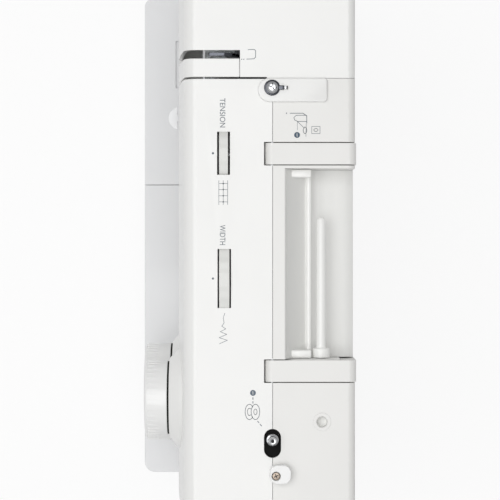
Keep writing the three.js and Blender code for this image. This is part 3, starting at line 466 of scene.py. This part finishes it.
def print_controls():
    lift = TOP + INK_LIFT
    tension, width = middle("tension_dial").x, middle("width_dial").x
    words("word_tension", "TENSION", *millimetres(-108.4, -88.6, -15.9, 3.7), GREY_INK)
    words("word_width", "WIDTH", *millimetres(-22.2, -8.6, -15.9, 3.7), GREY_INK)
    bm = bmesh.new()
    for x in (tension, width):
        dot(bm, x, -20.6 * MM, 0.75 * MM, lift)
    settle(bm, "index_dots", GREY_INK, "root", smooth=False)

    bm = bmesh.new()
    for y in (-16.6, -13.6, -10.6):
        dash(bm, (-52.4 * MM, y * MM, 0), (-36.0 * MM, y * MM, 0), 0.28 * MM, lift)
    for k in range(4):
        x = (-50.4 + 4.15 * k) * MM
        dash(bm, (x, -16.6 * MM, 0), (x, -10.6 * MM, 0), 0.28 * MM, lift)
        dot(bm, x, -13.6 * MM, 0.5 * MM, lift)
    settle(bm, "tension_scale_mark", GREY_INK, "root", smooth=False)

    bm = bmesh.new()
    heights = (-12.6, -13.6, -13.0, -14.6, -11.9, -15.6, -11.2, -16.4, -10.8, -16.2)
    steps = (37.8, 41.2, 44.4, 46.6, 48.4, 50.4, 52.2, 54.4, 56.2, 58.6)
    polyline(bm, [(x * MM, y * MM) for x, y in zip(steps, heights)], 0.3 * MM, lift)
    settle(bm, "width_zigzag_mark", GREY_INK, "root", smooth=False)


def print_pictograms():
    lift = TOP + INK_LIFT
    bm = bmesh.new()
    dot(bm, -83.4 * MM, 36.6 * MM, 2.0 * MM, lift)
    dot(bm, 92.0 * MM, 6.6 * MM, 2.0 * MM, lift)
    settle(bm, "step_discs", BLUE_INK, "root", smooth=False)

    bm = bmesh.new()
    for x, y in ((-83.4, 36.6), (92.0, 6.6)):
        dash(bm, ((x - 1.0) * MM, y * MM, 0), ((x + 1.0) * MM, y * MM, 0), 0.35 * MM, lift + 0.04 * MM)
    settle(bm, "step_marks", WHITE, "root", smooth=False)

    bm = bmesh.new()
    loop_stroke(bm, 104.9 * MM, 8.3 * MM, 5.2 * MM, 2.9 * MM, 0.4 * MM, lift)
    loop_stroke(bm, 104.9 * MM, 8.3 * MM, 1.9 * MM, 1.1 * MM, 0.35 * MM, lift)
    arc_stroke(bm, (104.9, 4.2), (5.2, 2.9), (40, 320), 0.4, lift, -90)
    arc_stroke(bm, (104.9, 4.2), (2.5, 1.3), (50, 310), 0.35, lift, -90)
    settle(bm, "bobbin_mark", GREY_INK, "root", smooth=False)

    bm = bmesh.new()
    for x0, x1, y0, y1 in ((95.2, 96.4, 6.6, 6.6), (97.8, 99.0, 6.6, 6.6), (111.2, 112.2, 9.8, 10.6),
                           (113.2, 114.4, 11.4, 12.4)):
        dash(bm, (x0 * MM, y0 * MM, 0), (x1 * MM, y1 * MM, 0), 0.6 * MM, lift)
    settle(bm, "bobbin_mark_path", GREY_INK, "root", smooth=False)

    bm = bmesh.new()
    polyline(bm, [(x * MM, y * MM) for x, y in ((-98.2, 31.8), (-98.2, 40.6), (-96.4, 43.2), (-91.6, 43.2))],
             0.42 * MM, lift)
    polyline(bm, [(x * MM, y * MM) for x, y in ((-92.6, 42.9), (-92.6, 37.0), (-93.6, 35.0), (-95.2, 34.4),
                                                (-96.8, 36.0), (-96.8, 42.9))], 0.36 * MM, lift)
    polyline(bm, [(x * MM, y * MM) for x, y in ((-93.0, 36.4), (-88.0, 41.6))], 0.3 * MM, lift)
    polyline(bm, [(x * MM, y * MM) for x, y in ((-92.4, 36.8), (-86.8, 36.8))], 0.22 * MM, lift)
    polyline(bm, [(x * MM, y * MM) for x, y in ((-91.6, 42.9), (-82.4, 42.6))], 0.26 * MM, lift)
    loop_stroke(bm, -86.6 * MM, 42.0 * MM, 2.2 * MM, 1.2 * MM, 0.34 * MM, lift)
    dot(bm, -98.2 * MM, 29.4 * MM, 0.4 * MM, lift)
    settle(bm, "threading_mark", GREY_INK, "root", smooth=False)

    bm = bmesh.new()
    frame_spots = [(-89.2, 46.6), (-84.4, 46.6), (-84.4, 52.2), (-89.2, 52.2), (-89.2, 46.6)]
    polyline(bm, [(x * MM, y * MM) for x, y in frame_spots], 0.28 * MM, lift)
    loop_stroke(bm, -86.8 * MM, 49.4 * MM, 1.0 * MM, 1.4 * MM, 0.3 * MM, lift)
    settle(bm, "booklet_mark", GREY_INK, "root", smooth=False)

    bm = bmesh.new()
    hook = [(-141.4, 3.2), (-141.6, 7.4), (-140.9, 8.4), (-136.4, 8.4), (-135.2, 7.2), (-135.0, 2.4)]
    polyline(bm, [(x * MM, y * MM) for x, y in hook], 0.4 * MM, lift)
    for y in (-1.0, 0.4):
        dot(bm, -134.9 * MM, y * MM, 0.35 * MM, lift)
    settle(bm, "take_up_mark", GREY_INK, "root", smooth=False)


# ------------------------------------------------------------------ thumbwheels and dials
def toothed_disc(bm, centre, r, low, high, teeth, depth, axis="y", chamfer=0.4 * MM):
    """A disc with fine ribs across its rim, along the given axis."""
    count = teeth * 2
    turn = Matrix.Translation(centre) @ turn_to(axis)
    made = bmesh.ops.create_circle(bm, cap_ends=True, radius=r, segments=count, matrix=Matrix.Identity(4))
    verts = made["verts"]
    for k, vert in enumerate(verts):
        if k % 4 in (2, 3):
            vert.co *= (r - depth) / r
        vert.co.z = low
    face = verts[0].link_faces[0]
    raised = bmesh.ops.extrude_face_region(bm, geom=[face])["geom"]
    moved = [item for item in raised if isinstance(item, bmesh.types.BMVert)]
    bmesh.ops.translate(bm, verts=moved, vec=(0, 0, high - low))
    caps = [f for f in set(f for v in verts + moved for f in v.link_faces) if len(f.verts) > 8]
    bmesh.ops.inset_region(bm, faces=caps, thickness=chamfer, depth=0, use_even_offset=True)
    rims = [v for f in caps for v in f.verts]
    for vert in rims:
        vert.co.z += chamfer * 0.6 if vert.co.z > (low + high) / 2 else -chamfer * 0.6
    shrink = [v for v in bm.verts if v.is_valid]
    bmesh.ops.transform(bm, matrix=turn, verts=shrink)


def thumbwheel(node, teeth):
    low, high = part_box(node)
    body = node
    centre = middle(node)
    r = (high.x - low.x) / 2
    wheel_high = low.y + (7.2 if node == "width_dial" else 6.2) * MM
    bm = bmesh.new()
    toothed_disc(bm, Vector((centre.x, 0, centre.z)), r - 0.05 * MM, low.y + 0.3 * MM, wheel_high - 0.3 * MM,
                 teeth, 0.45 * MM)
    wheel = settle(bm, node + "_wheel", WHEEL_RIM, body, replaced=[node])
    bm = bmesh.new()
    lathe(bm, [(0, wheel_high - 0.2 * MM), (3 * MM, wheel_high - 0.2 * MM), (3 * MM, high.y - 0.4 * MM),
               (2.6 * MM, high.y), (0, high.y)], "y", Vector((centre.x, 0, centre.z)), 24)
    settle(bm, node + "_axle", STEEL, body)
    return wheel


def front_dial(node, flutes, marks):
    """A round dial with a drafted grip rim, a dished face and a raised bar to turn it by."""
    low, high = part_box(node)
    centre = middle(node)
    r = (high.x - low.x) / 2
    back = highs(node).y - 20.3 * MM
    hub = Vector((centre.x, 0, centre.z))
    face = low.y
    bm = bmesh.new()
    rim = [(0, face + 2.2 * MM), (r * 0.80, face + 1.6 * MM), (r * 0.86, face + 0.4 * MM), (r * 0.90, face),
           (r * 0.935, face + 0.2 * MM), (r * 0.965, face + 1.3 * MM), (r * 0.985, back - 6 * MM),
           (r - 0.1 * MM, back - 2.8 * MM), (r - 0.1 * MM, back - 1.4 * MM), (r - 0.3 * MM, back - 1.1 * MM),
           (r - 1.2 * MM, back - 1.1 * MM), (4 * MM, back - 1.1 * MM), (4 * MM, high.y), (0, high.y)]
    lathe(bm, rim, "y", hub, 96)
    settle(bm, node + "_body", DIAL, node, replaced=[node])
    # A thin matt black ring just inside the rim behind the dial: painted shadow in the gap between dial and
    # boss.
    bm = bmesh.new()
    shade = [(3.9 * MM, back - 1.15 * MM), (r - 0.7 * MM, back - 1.15 * MM), (r - 0.7 * MM, back),
             (3.9 * MM, back), (3.9 * MM, back - 1.15 * MM)]
    lathe(bm, shade, "y", hub, 96)
    settle(bm, node + "_shadow_ring", DEEP_BLACK_AND_SHADOW, node)
    bm = bmesh.new()
    bar_half = 3.2 * MM
    bar(bm, (hub.x - bar_half, face + 0.2 * MM, hub.z - r * 0.72),
        (hub.x + bar_half, face + 3 * MM, hub.z + r * 0.72))
    bevel_sharp(bm, 1.1 * MM, 4)
    settle(bm, node + "_grip", DIAL, node)
    bm = bmesh.new()
    for k in range(flutes):
        angle = k * 2 * math.pi / flutes
        on_rim = Matrix.Translation((r * 0.972, face + 6 * MM, 0))
        spot = Matrix.Translation(hub) @ Matrix.Rotation(angle, 4, "Y") @ on_rim
        shape = Matrix.Diagonal((0.9 * MM, 8.5 * MM, 0.7 * MM, 1))
        bmesh.ops.create_cube(bm, size=1, matrix=spot @ shape)
    settle(bm, node + "_ribs", DIAL, node, smooth=False)
    bm = bmesh.new()
    bar(bm, (hub.x - 0.5 * MM, face + 0.15 * MM, hub.z + r * 0.45),
        (hub.x + 0.5 * MM, face + 0.25 * MM, hub.z + r * 0.70))
    settle(bm, node + "_pointer", GREY_INK, node, smooth=False)
    bm = bmesh.new()
    for k in range(marks):
        angle = math.radians(-140 + 280 * k / (marks - 1))
        spot = Matrix.Translation(hub) @ Matrix.Rotation(angle, 4, "Y") @ Matrix.Translation(
            (0, back + 0.25 * MM, r + 1.0 * MM))
        bmesh.ops.create_cube(bm, size=1, matrix=spot @ Matrix.Diagonal((0.35 * MM, 0.08 * MM, 1.0 * MM, 1)))
    settle(bm, node + "_scale", GREY_INK, "root", smooth=False)


def handwheel():
    low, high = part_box("handwheel")
    centre = middle("handwheel")
    hub = Vector((0, centre.y, centre.z))
    r = (high.z - low.z) / 2
    x0, x1 = low.x, high.x
    bm = bmesh.new()
    rim = [(0, x0 + 4.3 * MM), (10 * MM, x0 + 4.3 * MM), (10 * MM, x0), (r - 8 * MM, x0 + 1.6 * MM),
           (r - 2 * MM, x0 + 3.6 * MM), (r - 0.5 * MM, x0 + 6 * MM), (r - 0.1 * MM, x0 + 10 * MM),
           (r - 0.6 * MM, x0 + 14 * MM), (r - 2.6 * MM, x0 + 17.6 * MM), (r - 6 * MM, x0 + 19.4 * MM),
           (r - 10 * MM, x0 + 19 * MM), (r - 15 * MM, x0 + 17.6 * MM), (13 * MM, x0 + 18.3 * MM),
           (11 * MM, x1 - 1.4 * MM), (9.6 * MM, x1 - 0.4 * MM), (0, x1)]
    lathe(bm, rim, "x", hub, 128)
    settle(bm, "handwheel_rim", DIAL, "drive", replaced=["handwheel"])
    bm = bmesh.new()
    for k in range(64):
        angle = k * 2 * math.pi / 64
        on_rim = Matrix.Translation((x0 + 10 * MM, 0, r - 0.6 * MM))
        spot = Matrix.Translation(hub) @ Matrix.Rotation(angle, 4, "X") @ on_rim
        bmesh.ops.create_cube(bm, size=1, matrix=spot @ Matrix.Diagonal((9 * MM, 1.1 * MM, 1.0 * MM, 1)))
    settle(bm, "handwheel_ribs", DIAL, "drive", smooth=False)
    bm = bmesh.new()
    spot = Matrix.Translation((x0 + 18.9 * MM, hub.y, hub.z + r - 12 * MM)) @ turn_to("x")
    bmesh.ops.create_cone(bm, cap_ends=True, segments=24, radius1=1.4 * MM, radius2=1.4 * MM,
                          depth=0.5 * MM, matrix=spot)
    settle(bm, "handwheel_mark", GREY_INK, "drive")


# ------------------------------------------------------------------ top fittings
def cross_screw(name, x, y, z, r, body, metal_finish, replaced=()):
    """A pan-head screw with a cross recess, head up; the recess is a thin black cross on the head, painted
    shade in place of a hollow.
    """
    bm = bmesh.new()
    lathe(bm, [(0, z - 1.2 * MM), (r, z - 1.2 * MM), (r, z - 0.5 * MM), (r * 0.86, z - 0.12 * MM),
               (r * 0.5, z),
               (0, z)], "z", Vector((x, y, 0)), 40)
    head = settle(bm, name, metal_finish, body, replaced=replaced)
    cross = bmesh.new()
    for turn in (0, math.pi / 2):
        spot = Matrix.Translation((x, y, z)) @ Matrix.Rotation(turn + 0.4, 4, "Z")
        bmesh.ops.create_cube(cross, size=1, matrix=spot
                              @ Matrix.Diagonal((r * 1.25, r * 0.24, 0.12 * MM, 1)))
    settle(cross, name + "_recess_painted_shade", BLACK_PARTS_SHADE_AND_REFLECTION, body, smooth=False)
    return head


def pretension():
    """Two sprung plates on a stud, with the guide hook behind them."""
    low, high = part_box("pretension_disc")
    x, y = middle("pretension_disc").x, SEAM_Y - 0.4 * MM
    z = low.z
    hub = Vector((x, y, 0))
    bm = bmesh.new()
    lathe(bm, [(0, z), (5.3 * MM, z), (5.45 * MM, z + 0.3 * MM), (5.0 * MM, z + 0.8 * MM),
               (4.2 * MM, z + 1.0 * MM),
               (3.6 * MM, z + 1.3 * MM), (0, z + 1.3 * MM)], "z", hub, 48)
    settle(bm, "pretension_plates", DARK_CHROME, "root", replaced=["pretension_disc"])
    bm = bmesh.new()
    lathe(bm, [(0, z + 1.3 * MM), (2.0 * MM, z + 1.3 * MM), (3.9 * MM, z + 1.7 * MM),
               (4.1 * MM, z + 2.1 * MM),
               (3.0 * MM, z + 2.6 * MM), (2.6 * MM, high.z - 0.6 * MM), (2.1 * MM, high.z), (0, high.z)],
               "z", hub, 48)
    settle(bm, "pretension_stud", CHROME, "root")
    bm = bmesh.new()
    bar(bm, (x - 1.5 * MM, y + 4.4 * MM, z + 0.2 * MM), (x + 1.5 * MM, y + 8.2 * MM, z + 1.2 * MM))
    bevel_sharp(bm, 0.35 * MM)
    settle(bm, "pretension_guide", DARK_CHROME, "root")
    bm = bmesh.new()
    bar(bm, (x - 0.9 * MM, y + 8.3 * MM, z + 0.2 * MM), (x + 0.9 * MM, high.y - 0.9 * MM, z + 1.0 * MM))
    bevel_sharp(bm, 0.25 * MM)
    settle(bm, "pretension_hook", CHROME, "root")
    # A black tip on the hook end, and three black flecks on top of the stud that are painted reflections in
    # the chrome.
    bm = bmesh.new()
    bar(bm, (x - 1.2 * MM, high.y - 0.9 * MM, z + 0.2 * MM), (x + 1.2 * MM, high.y - 0.3 * MM, z + 1.2 * MM))
    for along, across, turn in ((0.9, 0.8, 0.5), (-1.2, -0.6, 1.3), (0.4, -1.9, 0.2)):
        spot = Matrix.Translation((x + across * MM, y + along * MM, high.z)) @ Matrix.Rotation(turn, 4, "Z")
        bmesh.ops.create_cube(bm, size=1, matrix=spot @ Matrix.Diagonal((2.4 * MM, 0.7 * MM, 0.1 * MM, 1)))
    settle(bm, "pretension_hook_tip_and_painted_reflections", BLACK_PARTS_SHADE_AND_REFLECTION, "root", smooth=False)


def thread_pad():
    """The raised pad under the pretension: round at the front, nearly square at the rear."""
    low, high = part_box("thread_guide_pad")
    half = (high.x - low.x) / 2
    centre_x = (high.x + low.x) / 2
    corners = ((high.x, high.y, 2.4 * MM, 0), (low.x, high.y, 2.4 * MM, 90),
               (low.x, low.y, half - 0.2 * MM, 180), (high.x, low.y, half - 0.2 * MM, 270))
    bm = bmesh.new()
    rim = []
    for x, y, r, start in corners:
        hub = Vector((x - math.copysign(r, x - centre_x), y - math.copysign(r, 90 - start), 0))
        for k in range(9):
            turn = math.radians(start + 90 * k / 8)
            rim.append(bm.verts.new(hub + Vector((r * math.cos(turn), r * math.sin(turn), low.z))))
    face = bm.faces.new(rim)
    raised = bmesh.ops.extrude_face_region(bm, geom=[face])["geom"]
    tops = [item for item in raised if isinstance(item, bmesh.types.BMVert)]
    bmesh.ops.translate(bm, verts=tops, vec=(0, 0, high.z - low.z))
    edges = [e for e in bm.edges if all(v in tops for v in e.verts)]
    bmesh.ops.bevel(bm, geom=edges, offset=0.7 * MM, offset_type="OFFSET", segments=4, profile=0.5,
                    affect="EDGES", clamp_overlap=True)
    settle(bm, "thread_pad_top", WHITE, "root", replaced=["thread_guide_pad"])


def winder():
    low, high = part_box("winder_spindle")
    spot = middle("winder_spindle")
    centre = Vector((spot.x, spot.y, 0))
    z0, z1 = low.z, high.z
    bm = bmesh.new()
    lathe(bm, [(0, z0), (2.5 * MM, z0), (2.5 * MM, z0 + 6.4 * MM), (4.1 * MM, z0 + 6.5 * MM),
               (4.15 * MM, TOP + 0.6 * MM),
               (3.8 * MM, TOP + 1.1 * MM), (2.9 * MM, TOP + 1.4 * MM), (2.85 * MM, z1 - 2.5 * MM),
               (2.5 * MM, z1 - 0.9 * MM), (1.9 * MM, z1), (1.3 * MM, z1 - 0.1 * MM), (1.2 * MM, z1 - 3 * MM),
               (0, z1 - 3 * MM)], "z", centre, 40)
    settle(bm, "winder_spindle_post", CHROME, "winder_spindle", replaced=["winder_spindle"])
    bm = bmesh.new()
    bar(bm, centre + Vector((2.6 * MM, -0.45 * MM, TOP + 2.5 * MM)),
        centre + Vector((3.4 * MM, 0.45 * MM, z1 - 3 * MM)))
    bevel_sharp(bm, 0.25 * MM)
    settle(bm, "winder_spindle_spring", STEEL, "winder_spindle")
    # A black disc down in the spindle's bore: painted shade in the hole.
    bm = bmesh.new()
    lathe(bm, [(0, z1 - 2.9 * MM), (1.15 * MM, z1 - 2.9 * MM), (1.15 * MM, z1 - 2.5 * MM),
               (0, z1 - 2.5 * MM)], "z",
          centre, 20)
    settle(bm, "winder_spindle_bore_painted_shade", BLACK_PARTS_SHADE_AND_REFLECTION, "winder_spindle")


def stopper():
    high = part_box("winder_stopper")[1]
    cross_screw("stopper_screw_head", middle("stopper_screw").x, middle("stopper_screw").y, high.z - 0.2 * MM,
                2.6 * MM, "root", SCREW_STEEL, replaced=["stopper_screw"])


def spool_pin():
    low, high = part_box("spool_pin")
    spot = middle("spool_pin")
    hub = Vector((0, spot.y, spot.z))
    collar = high.x - 7 * MM
    bm = bmesh.new()
    lathe(bm, [(0, low.x), (1.2 * MM, low.x + 0.2 * MM), (2.5 * MM, low.x + 1.2 * MM),
               (3.1 * MM, low.x + 3 * MM),
               (3.18 * MM, collar), (3.9 * MM, collar + 0.1 * MM), (5.6 * MM, collar + 0.6 * MM),
               (5.95 * MM, collar + 1.6 * MM), (5.95 * MM, high.x - 0.3 * MM), (0, high.x - 0.3 * MM)], "x",
               hub, 48)
    settle(bm, "spool_pin_rod", PALE_MOULDING_AND_HIGHLIGHT, "root", replaced=["spool_pin"])


def socket_ring():
    """The shallow ring round the hole for the second spool pin."""
    x, y = 111.7 * MM, 53.6 * MM
    bm = bmesh.new()
    points = [(3.76, 0.0), (4.1, 0.28), (5.9, 0.3), (6.3, 0.0)]
    turn = Matrix.Translation((x, y, TOP))
    verts = [bm.verts.new(turn @ Vector((r * MM, 0, h * MM))) for r, h in points]
    edges = [bm.edges.new((a, b)) for a, b in zip(verts, verts[1:] + verts[:1])]
    bmesh.ops.spin(bm, geom=verts + edges, cent=(x, y, TOP), axis=(0, 0, 1), angle=2 * math.pi, steps=48,
                   use_merge=True, use_duplicate=False)
    settle(bm, "second_pin_ring", WARM, "root")
    bm = bmesh.new()
    cup = [(0, TOP - 6 * MM), (3.0 * MM, TOP - 5.8 * MM), (3.62 * MM, TOP - 5 * MM),
           (3.68 * MM, TOP - 0.5 * MM),
           (3.75 * MM, TOP - 0.5 * MM), (3.75 * MM, TOP - 6.4 * MM), (0, TOP - 6.4 * MM)]
    lathe(bm, cup, "z", Vector((x, y, 0)), 40)
    settle(bm, "second_pin_socket", LINER, "root")


# ------------------------------------------------------------------ spool recess
RECESS_SECTION = ((28.6, 289.9), (28.9, 286.4), (30.2, 283.6), (36.0, 273.2), (41.0, 264.4), (42.6, 262.9),
                  (43.6, 262.9), (44.4, 263.9), (45.4, 264.2), (46.4, 263.8), (47.3, 262.2), (49.0, 259.9),
                  (52.0, 258.3), (57.0, 257.4), (64.0, 257.0), (70.0, 256.7), (74.0, 255.9), (75.9, 254.4))
RECESS_ENDS = (-60.6, 69.0)


def recess_liner():
    """The moulded trough under the spool: sloped front, ridge and hollowed floor."""
    bm = bmesh.new()
    left, right = (end * MM for end in RECESS_ENDS)
    verts = [bm.verts.new((left, y * MM, z * MM)) for y, z in RECESS_SECTION]
    edges = [bm.edges.new(pair) for pair in zip(verts, verts[1:])]
    pushed = bmesh.ops.extrude_edge_only(bm, edges=edges)["geom"]
    bmesh.ops.translate(bm, verts=[g for g in pushed if isinstance(g, bmesh.types.BMVert)],
                        vec=(right - left, 0, 0))
    bmesh.ops.recalc_face_normals(bm, faces=bm.faces)
    if sum(f.normal.z for f in bm.faces) > 0:
        bmesh.ops.reverse_faces(bm, faces=bm.faces)
    bmesh.ops.solidify(bm, geom=bm.faces[:], thickness=0.25 * MM)
    settle(bm, "recess_liner", LINER, "root")


def recess_ledges():
    """Ledges at the two ends of the trough."""
    left, right = (end * MM for end in RECESS_ENDS)
    bm = bmesh.new()
    bar(bm, (left + 0.1 * MM, 28.9 * MM, 262 * MM), (left + 5.6 * MM, 46.6 * MM, 279 * MM))
    bevel_sharp(bm, 1.0 * MM)
    settle(bm, "recess_ledge_left", PALE_MOULDING_AND_HIGHLIGHT, "root")
    bm = bmesh.new()
    bar(bm, (right - 5.6 * MM, 28.9 * MM, 262 * MM), (right - 0.1 * MM, 46.6 * MM, 279 * MM))
    bevel_sharp(bm, 1.0 * MM)
    settle(bm, "recess_ledge_right", PALE_MOULDING_AND_HIGHLIGHT, "root")


def recess_ridge():
    """The rounded rib along the foot of the slope, coloured brighter than the liner as a painted highlight.
    """
    left, right = (end * MM for end in RECESS_ENDS)
    bm = bmesh.new()
    spot = Matrix.Translation(((left + right) / 2, 45.2 * MM, 263.4 * MM)) @ turn_to("x")
    shape = Matrix.Diagonal((1, 1, right - left - 0.4 * MM, 1))
    bmesh.ops.create_cone(bm, cap_ends=True, segments=32, radius1=1.9 * MM, radius2=1.9 * MM, depth=1,
                          matrix=spot @ shape)
    settle(bm, "recess_ridge", PALE_MOULDING_AND_HIGHLIGHT, "root")


# ------------------------------------------------------------------ bed and plate printing
def plate_lines():
    """Seam guide lines cut in the needle plate."""
    high = highs("needle_plate")
    bm = bmesh.new()
    for k in range(5):
        x = (-136.5 + 6.4 * k) * MM
        bar(bm, (x - 0.15 * MM, -24 * MM, high.z), (x + 0.15 * MM, 26 * MM, high.z + 0.03 * MM))
    settle(bm, "plate_guide_lines", BLACK_PARTS_SHADE_AND_REFLECTION, "root", smooth=False)


def pattern_chart():
    """A chart of stitches along the base's front, in faint grey."""
    y = lows("base_cover").y
    bm = bmesh.new()
    for k in range(12):
        x = (-38 + 16 * k) * MM
        for j in range(4):
            side = 1.6 * MM if j % 2 else -1.6 * MM
            low = Vector((min(x, x + side), y - 0.03 * MM, (40 + 4 * j) * MM))
            bar(bm, low, low + Vector((1.6 * MM, 0.03 * MM, 0.35 * MM)))
            bar(bm, (x - 0.15 * MM, y - 0.03 * MM, (40 + 4 * j) * MM), (x + 0.15 * MM, y, (44 + 4 * j) * MM))
    settle(bm, "stitch_chart", FAINT_INK, "root", smooth=False)


def lid_pull():
    low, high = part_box("accessory_lid")
    bm = bmesh.new()
    bar(bm, (-131 * MM, low.y + 0.02 * MM, high.z - 6 * MM), (-111 * MM, low.y + 0.4 * MM, high.z - 4.4 * MM))
    settle(bm, "lid_pull", FAINT_INK, "accessory_lid", smooth=False)


def cover_screws():
    """Casing screws on the casing's rear face, two high and two low."""
    rear = highs("rear_cover").y
    bm = bmesh.new()
    for x, z in ((-100, 205), (150, 205), (150, 95), (30, 95)):
        lathe(bm, [(0, -rear - 0.6 * MM), (2.4 * MM, -rear - 0.5 * MM), (2.8 * MM, -rear), (0, -rear)], "y",
              Vector((x * MM, 2 * rear, z * MM)), 24)
    settle(bm, "rear_cover_screws", STEEL, "root")


def presser_spring():
    """The coil round the presser bar, inside the head."""
    x, y = middle("presser_bar").x, middle("presser_bar").y
    bottom, top = 196.8 * MM, 245.2 * MM
    turns, steps = 13, 20
    curve = bpy.data.curves.new("presser_spring", "CURVE")
    curve.dimensions = "3D"
    curve.bevel_depth = 0.5 * MM
    curve.bevel_resolution = 2
    curve.use_fill_caps = True
    line = curve.splines.new("POLY")
    count = turns * steps
    line.points.add(count)
    for k, point in enumerate(line.points):
        angle = 2 * math.pi * k / steps
        point.co = (x + 4.4 * MM * math.cos(angle), y + 4.4 * MM * math.sin(angle),
                    bottom + (top - bottom) * k / count, 1)
    raw = bpy.data.objects.new("spring_raw", curve)
    scene.collection.objects.link(raw)
    bpy.context.view_layer.update()
    mesh = bpy.data.meshes.new_from_object(raw.evaluated_get(bpy.context.evaluated_depsgraph_get()))
    bpy.data.objects.remove(raw)
    bm = bmesh.new()
    bm.from_mesh(mesh)
    bmesh.ops.remove_doubles(bm, verts=bm.verts, dist=1e-6)
    settle(bm, "presser_spring", STEEL, "presser")


# ------------------------------------------------------------------ room and light
def make_room():
    floor_material = bpy.data.materials.new("pale_floor")
    floor_material.use_nodes = True
    tree = floor_material.node_tree
    tree.nodes.clear()
    out = tree.nodes.new("ShaderNodeOutputMaterial")
    matt = tree.nodes.new("ShaderNodeBsdfDiffuse")
    matt.inputs["Color"].default_value = (0.94, 0.94, 0.94, 1)
    glow = tree.nodes.new("ShaderNodeEmission")
    mix = tree.nodes.new("ShaderNodeMixShader")
    path = tree.nodes.new("ShaderNodeLightPath")
    seen = math_node(tree, "MAXIMUM", path.outputs["Is Camera Ray"], path.outputs["Is Transmission Ray"])
    tree.links.new(math_node(tree, "MULTIPLY", seen, 0.86), mix.inputs["Fac"])
    tree.links.new(matt.outputs[0], mix.inputs[1])
    tree.links.new(glow.outputs[0], mix.inputs[2])
    tree.links.new(mix.outputs[0], out.inputs["Surface"])
    bm = bmesh.new()
    bmesh.ops.create_grid(bm, x_segments=1, y_segments=1, size=3.0)
    mesh = bpy.data.meshes.new("floor")
    bm.to_mesh(mesh)
    bm.free()
    mesh.materials.append(floor_material)
    floor = bpy.data.objects.new("floor", mesh)
    scene.collection.objects.link(floor)

    world = bpy.data.worlds.new("studio")
    scene.world = world
    world.use_nodes = True
    tree = world.node_tree
    back = tree.nodes["Background"]
    path = tree.nodes.new("ShaderNodeLightPath")
    shown = math_node(tree, "MAXIMUM", path.outputs["Is Camera Ray"], path.outputs["Is Transmission Ray"])
    strength = tree.nodes.new("ShaderNodeMix")
    tree.links.new(shown, strength.inputs["Factor"])
    strength.inputs[2].default_value = WORLD_LEVEL
    strength.inputs[3].default_value = 1.0
    tree.links.new(strength.outputs[0], back.inputs["Strength"])
    back.inputs["Color"].default_value = (1, 1, 1, 1)


WORLD_LEVEL = 0.46
LAMPS = (
    ("overhead_softbox", (0.0, -0.42, 2.2), 1.6, 20.5),
    ("front_softbox", (-0.5, -2.0, 0.9), 1.4, 1.5),
    ("end_softbox", (2.0, 0.4, 1.2), 1.2, 3.0),
)


def make_lamps():
    aim = Vector((0, 0, 0.2))
    for name, place, size, power in LAMPS:
        data = bpy.data.lights.new(name, "AREA")
        data.size = size
        data.energy = power
        lamp = bpy.data.objects.new(name, data)
        lamp.location = place
        lamp.rotation_euler = (aim - Vector(place)).to_track_quat("-Z", "Y").to_euler()
        scene.collection.objects.link(lamp)


scene.view_settings.view_transform = "Standard"
make_camera()
dress_frame()
print_controls()
print_pictograms()
thumbwheel("tension_dial", 46)
thumbwheel("width_dial", 66)
front_dial("length_dial", 40, 9)
front_dial("pattern_dial", 54, 13)
handwheel()
pretension()
thread_pad()
winder()
stopper()
spool_pin()
socket_ring()
recess_liner()
recess_ledges()
recess_ridge()
plate_lines()
pattern_chart()
lid_pull()
cover_screws()
presser_spring()
make_room()
make_lamps()

bpy.context.view_layer.update()
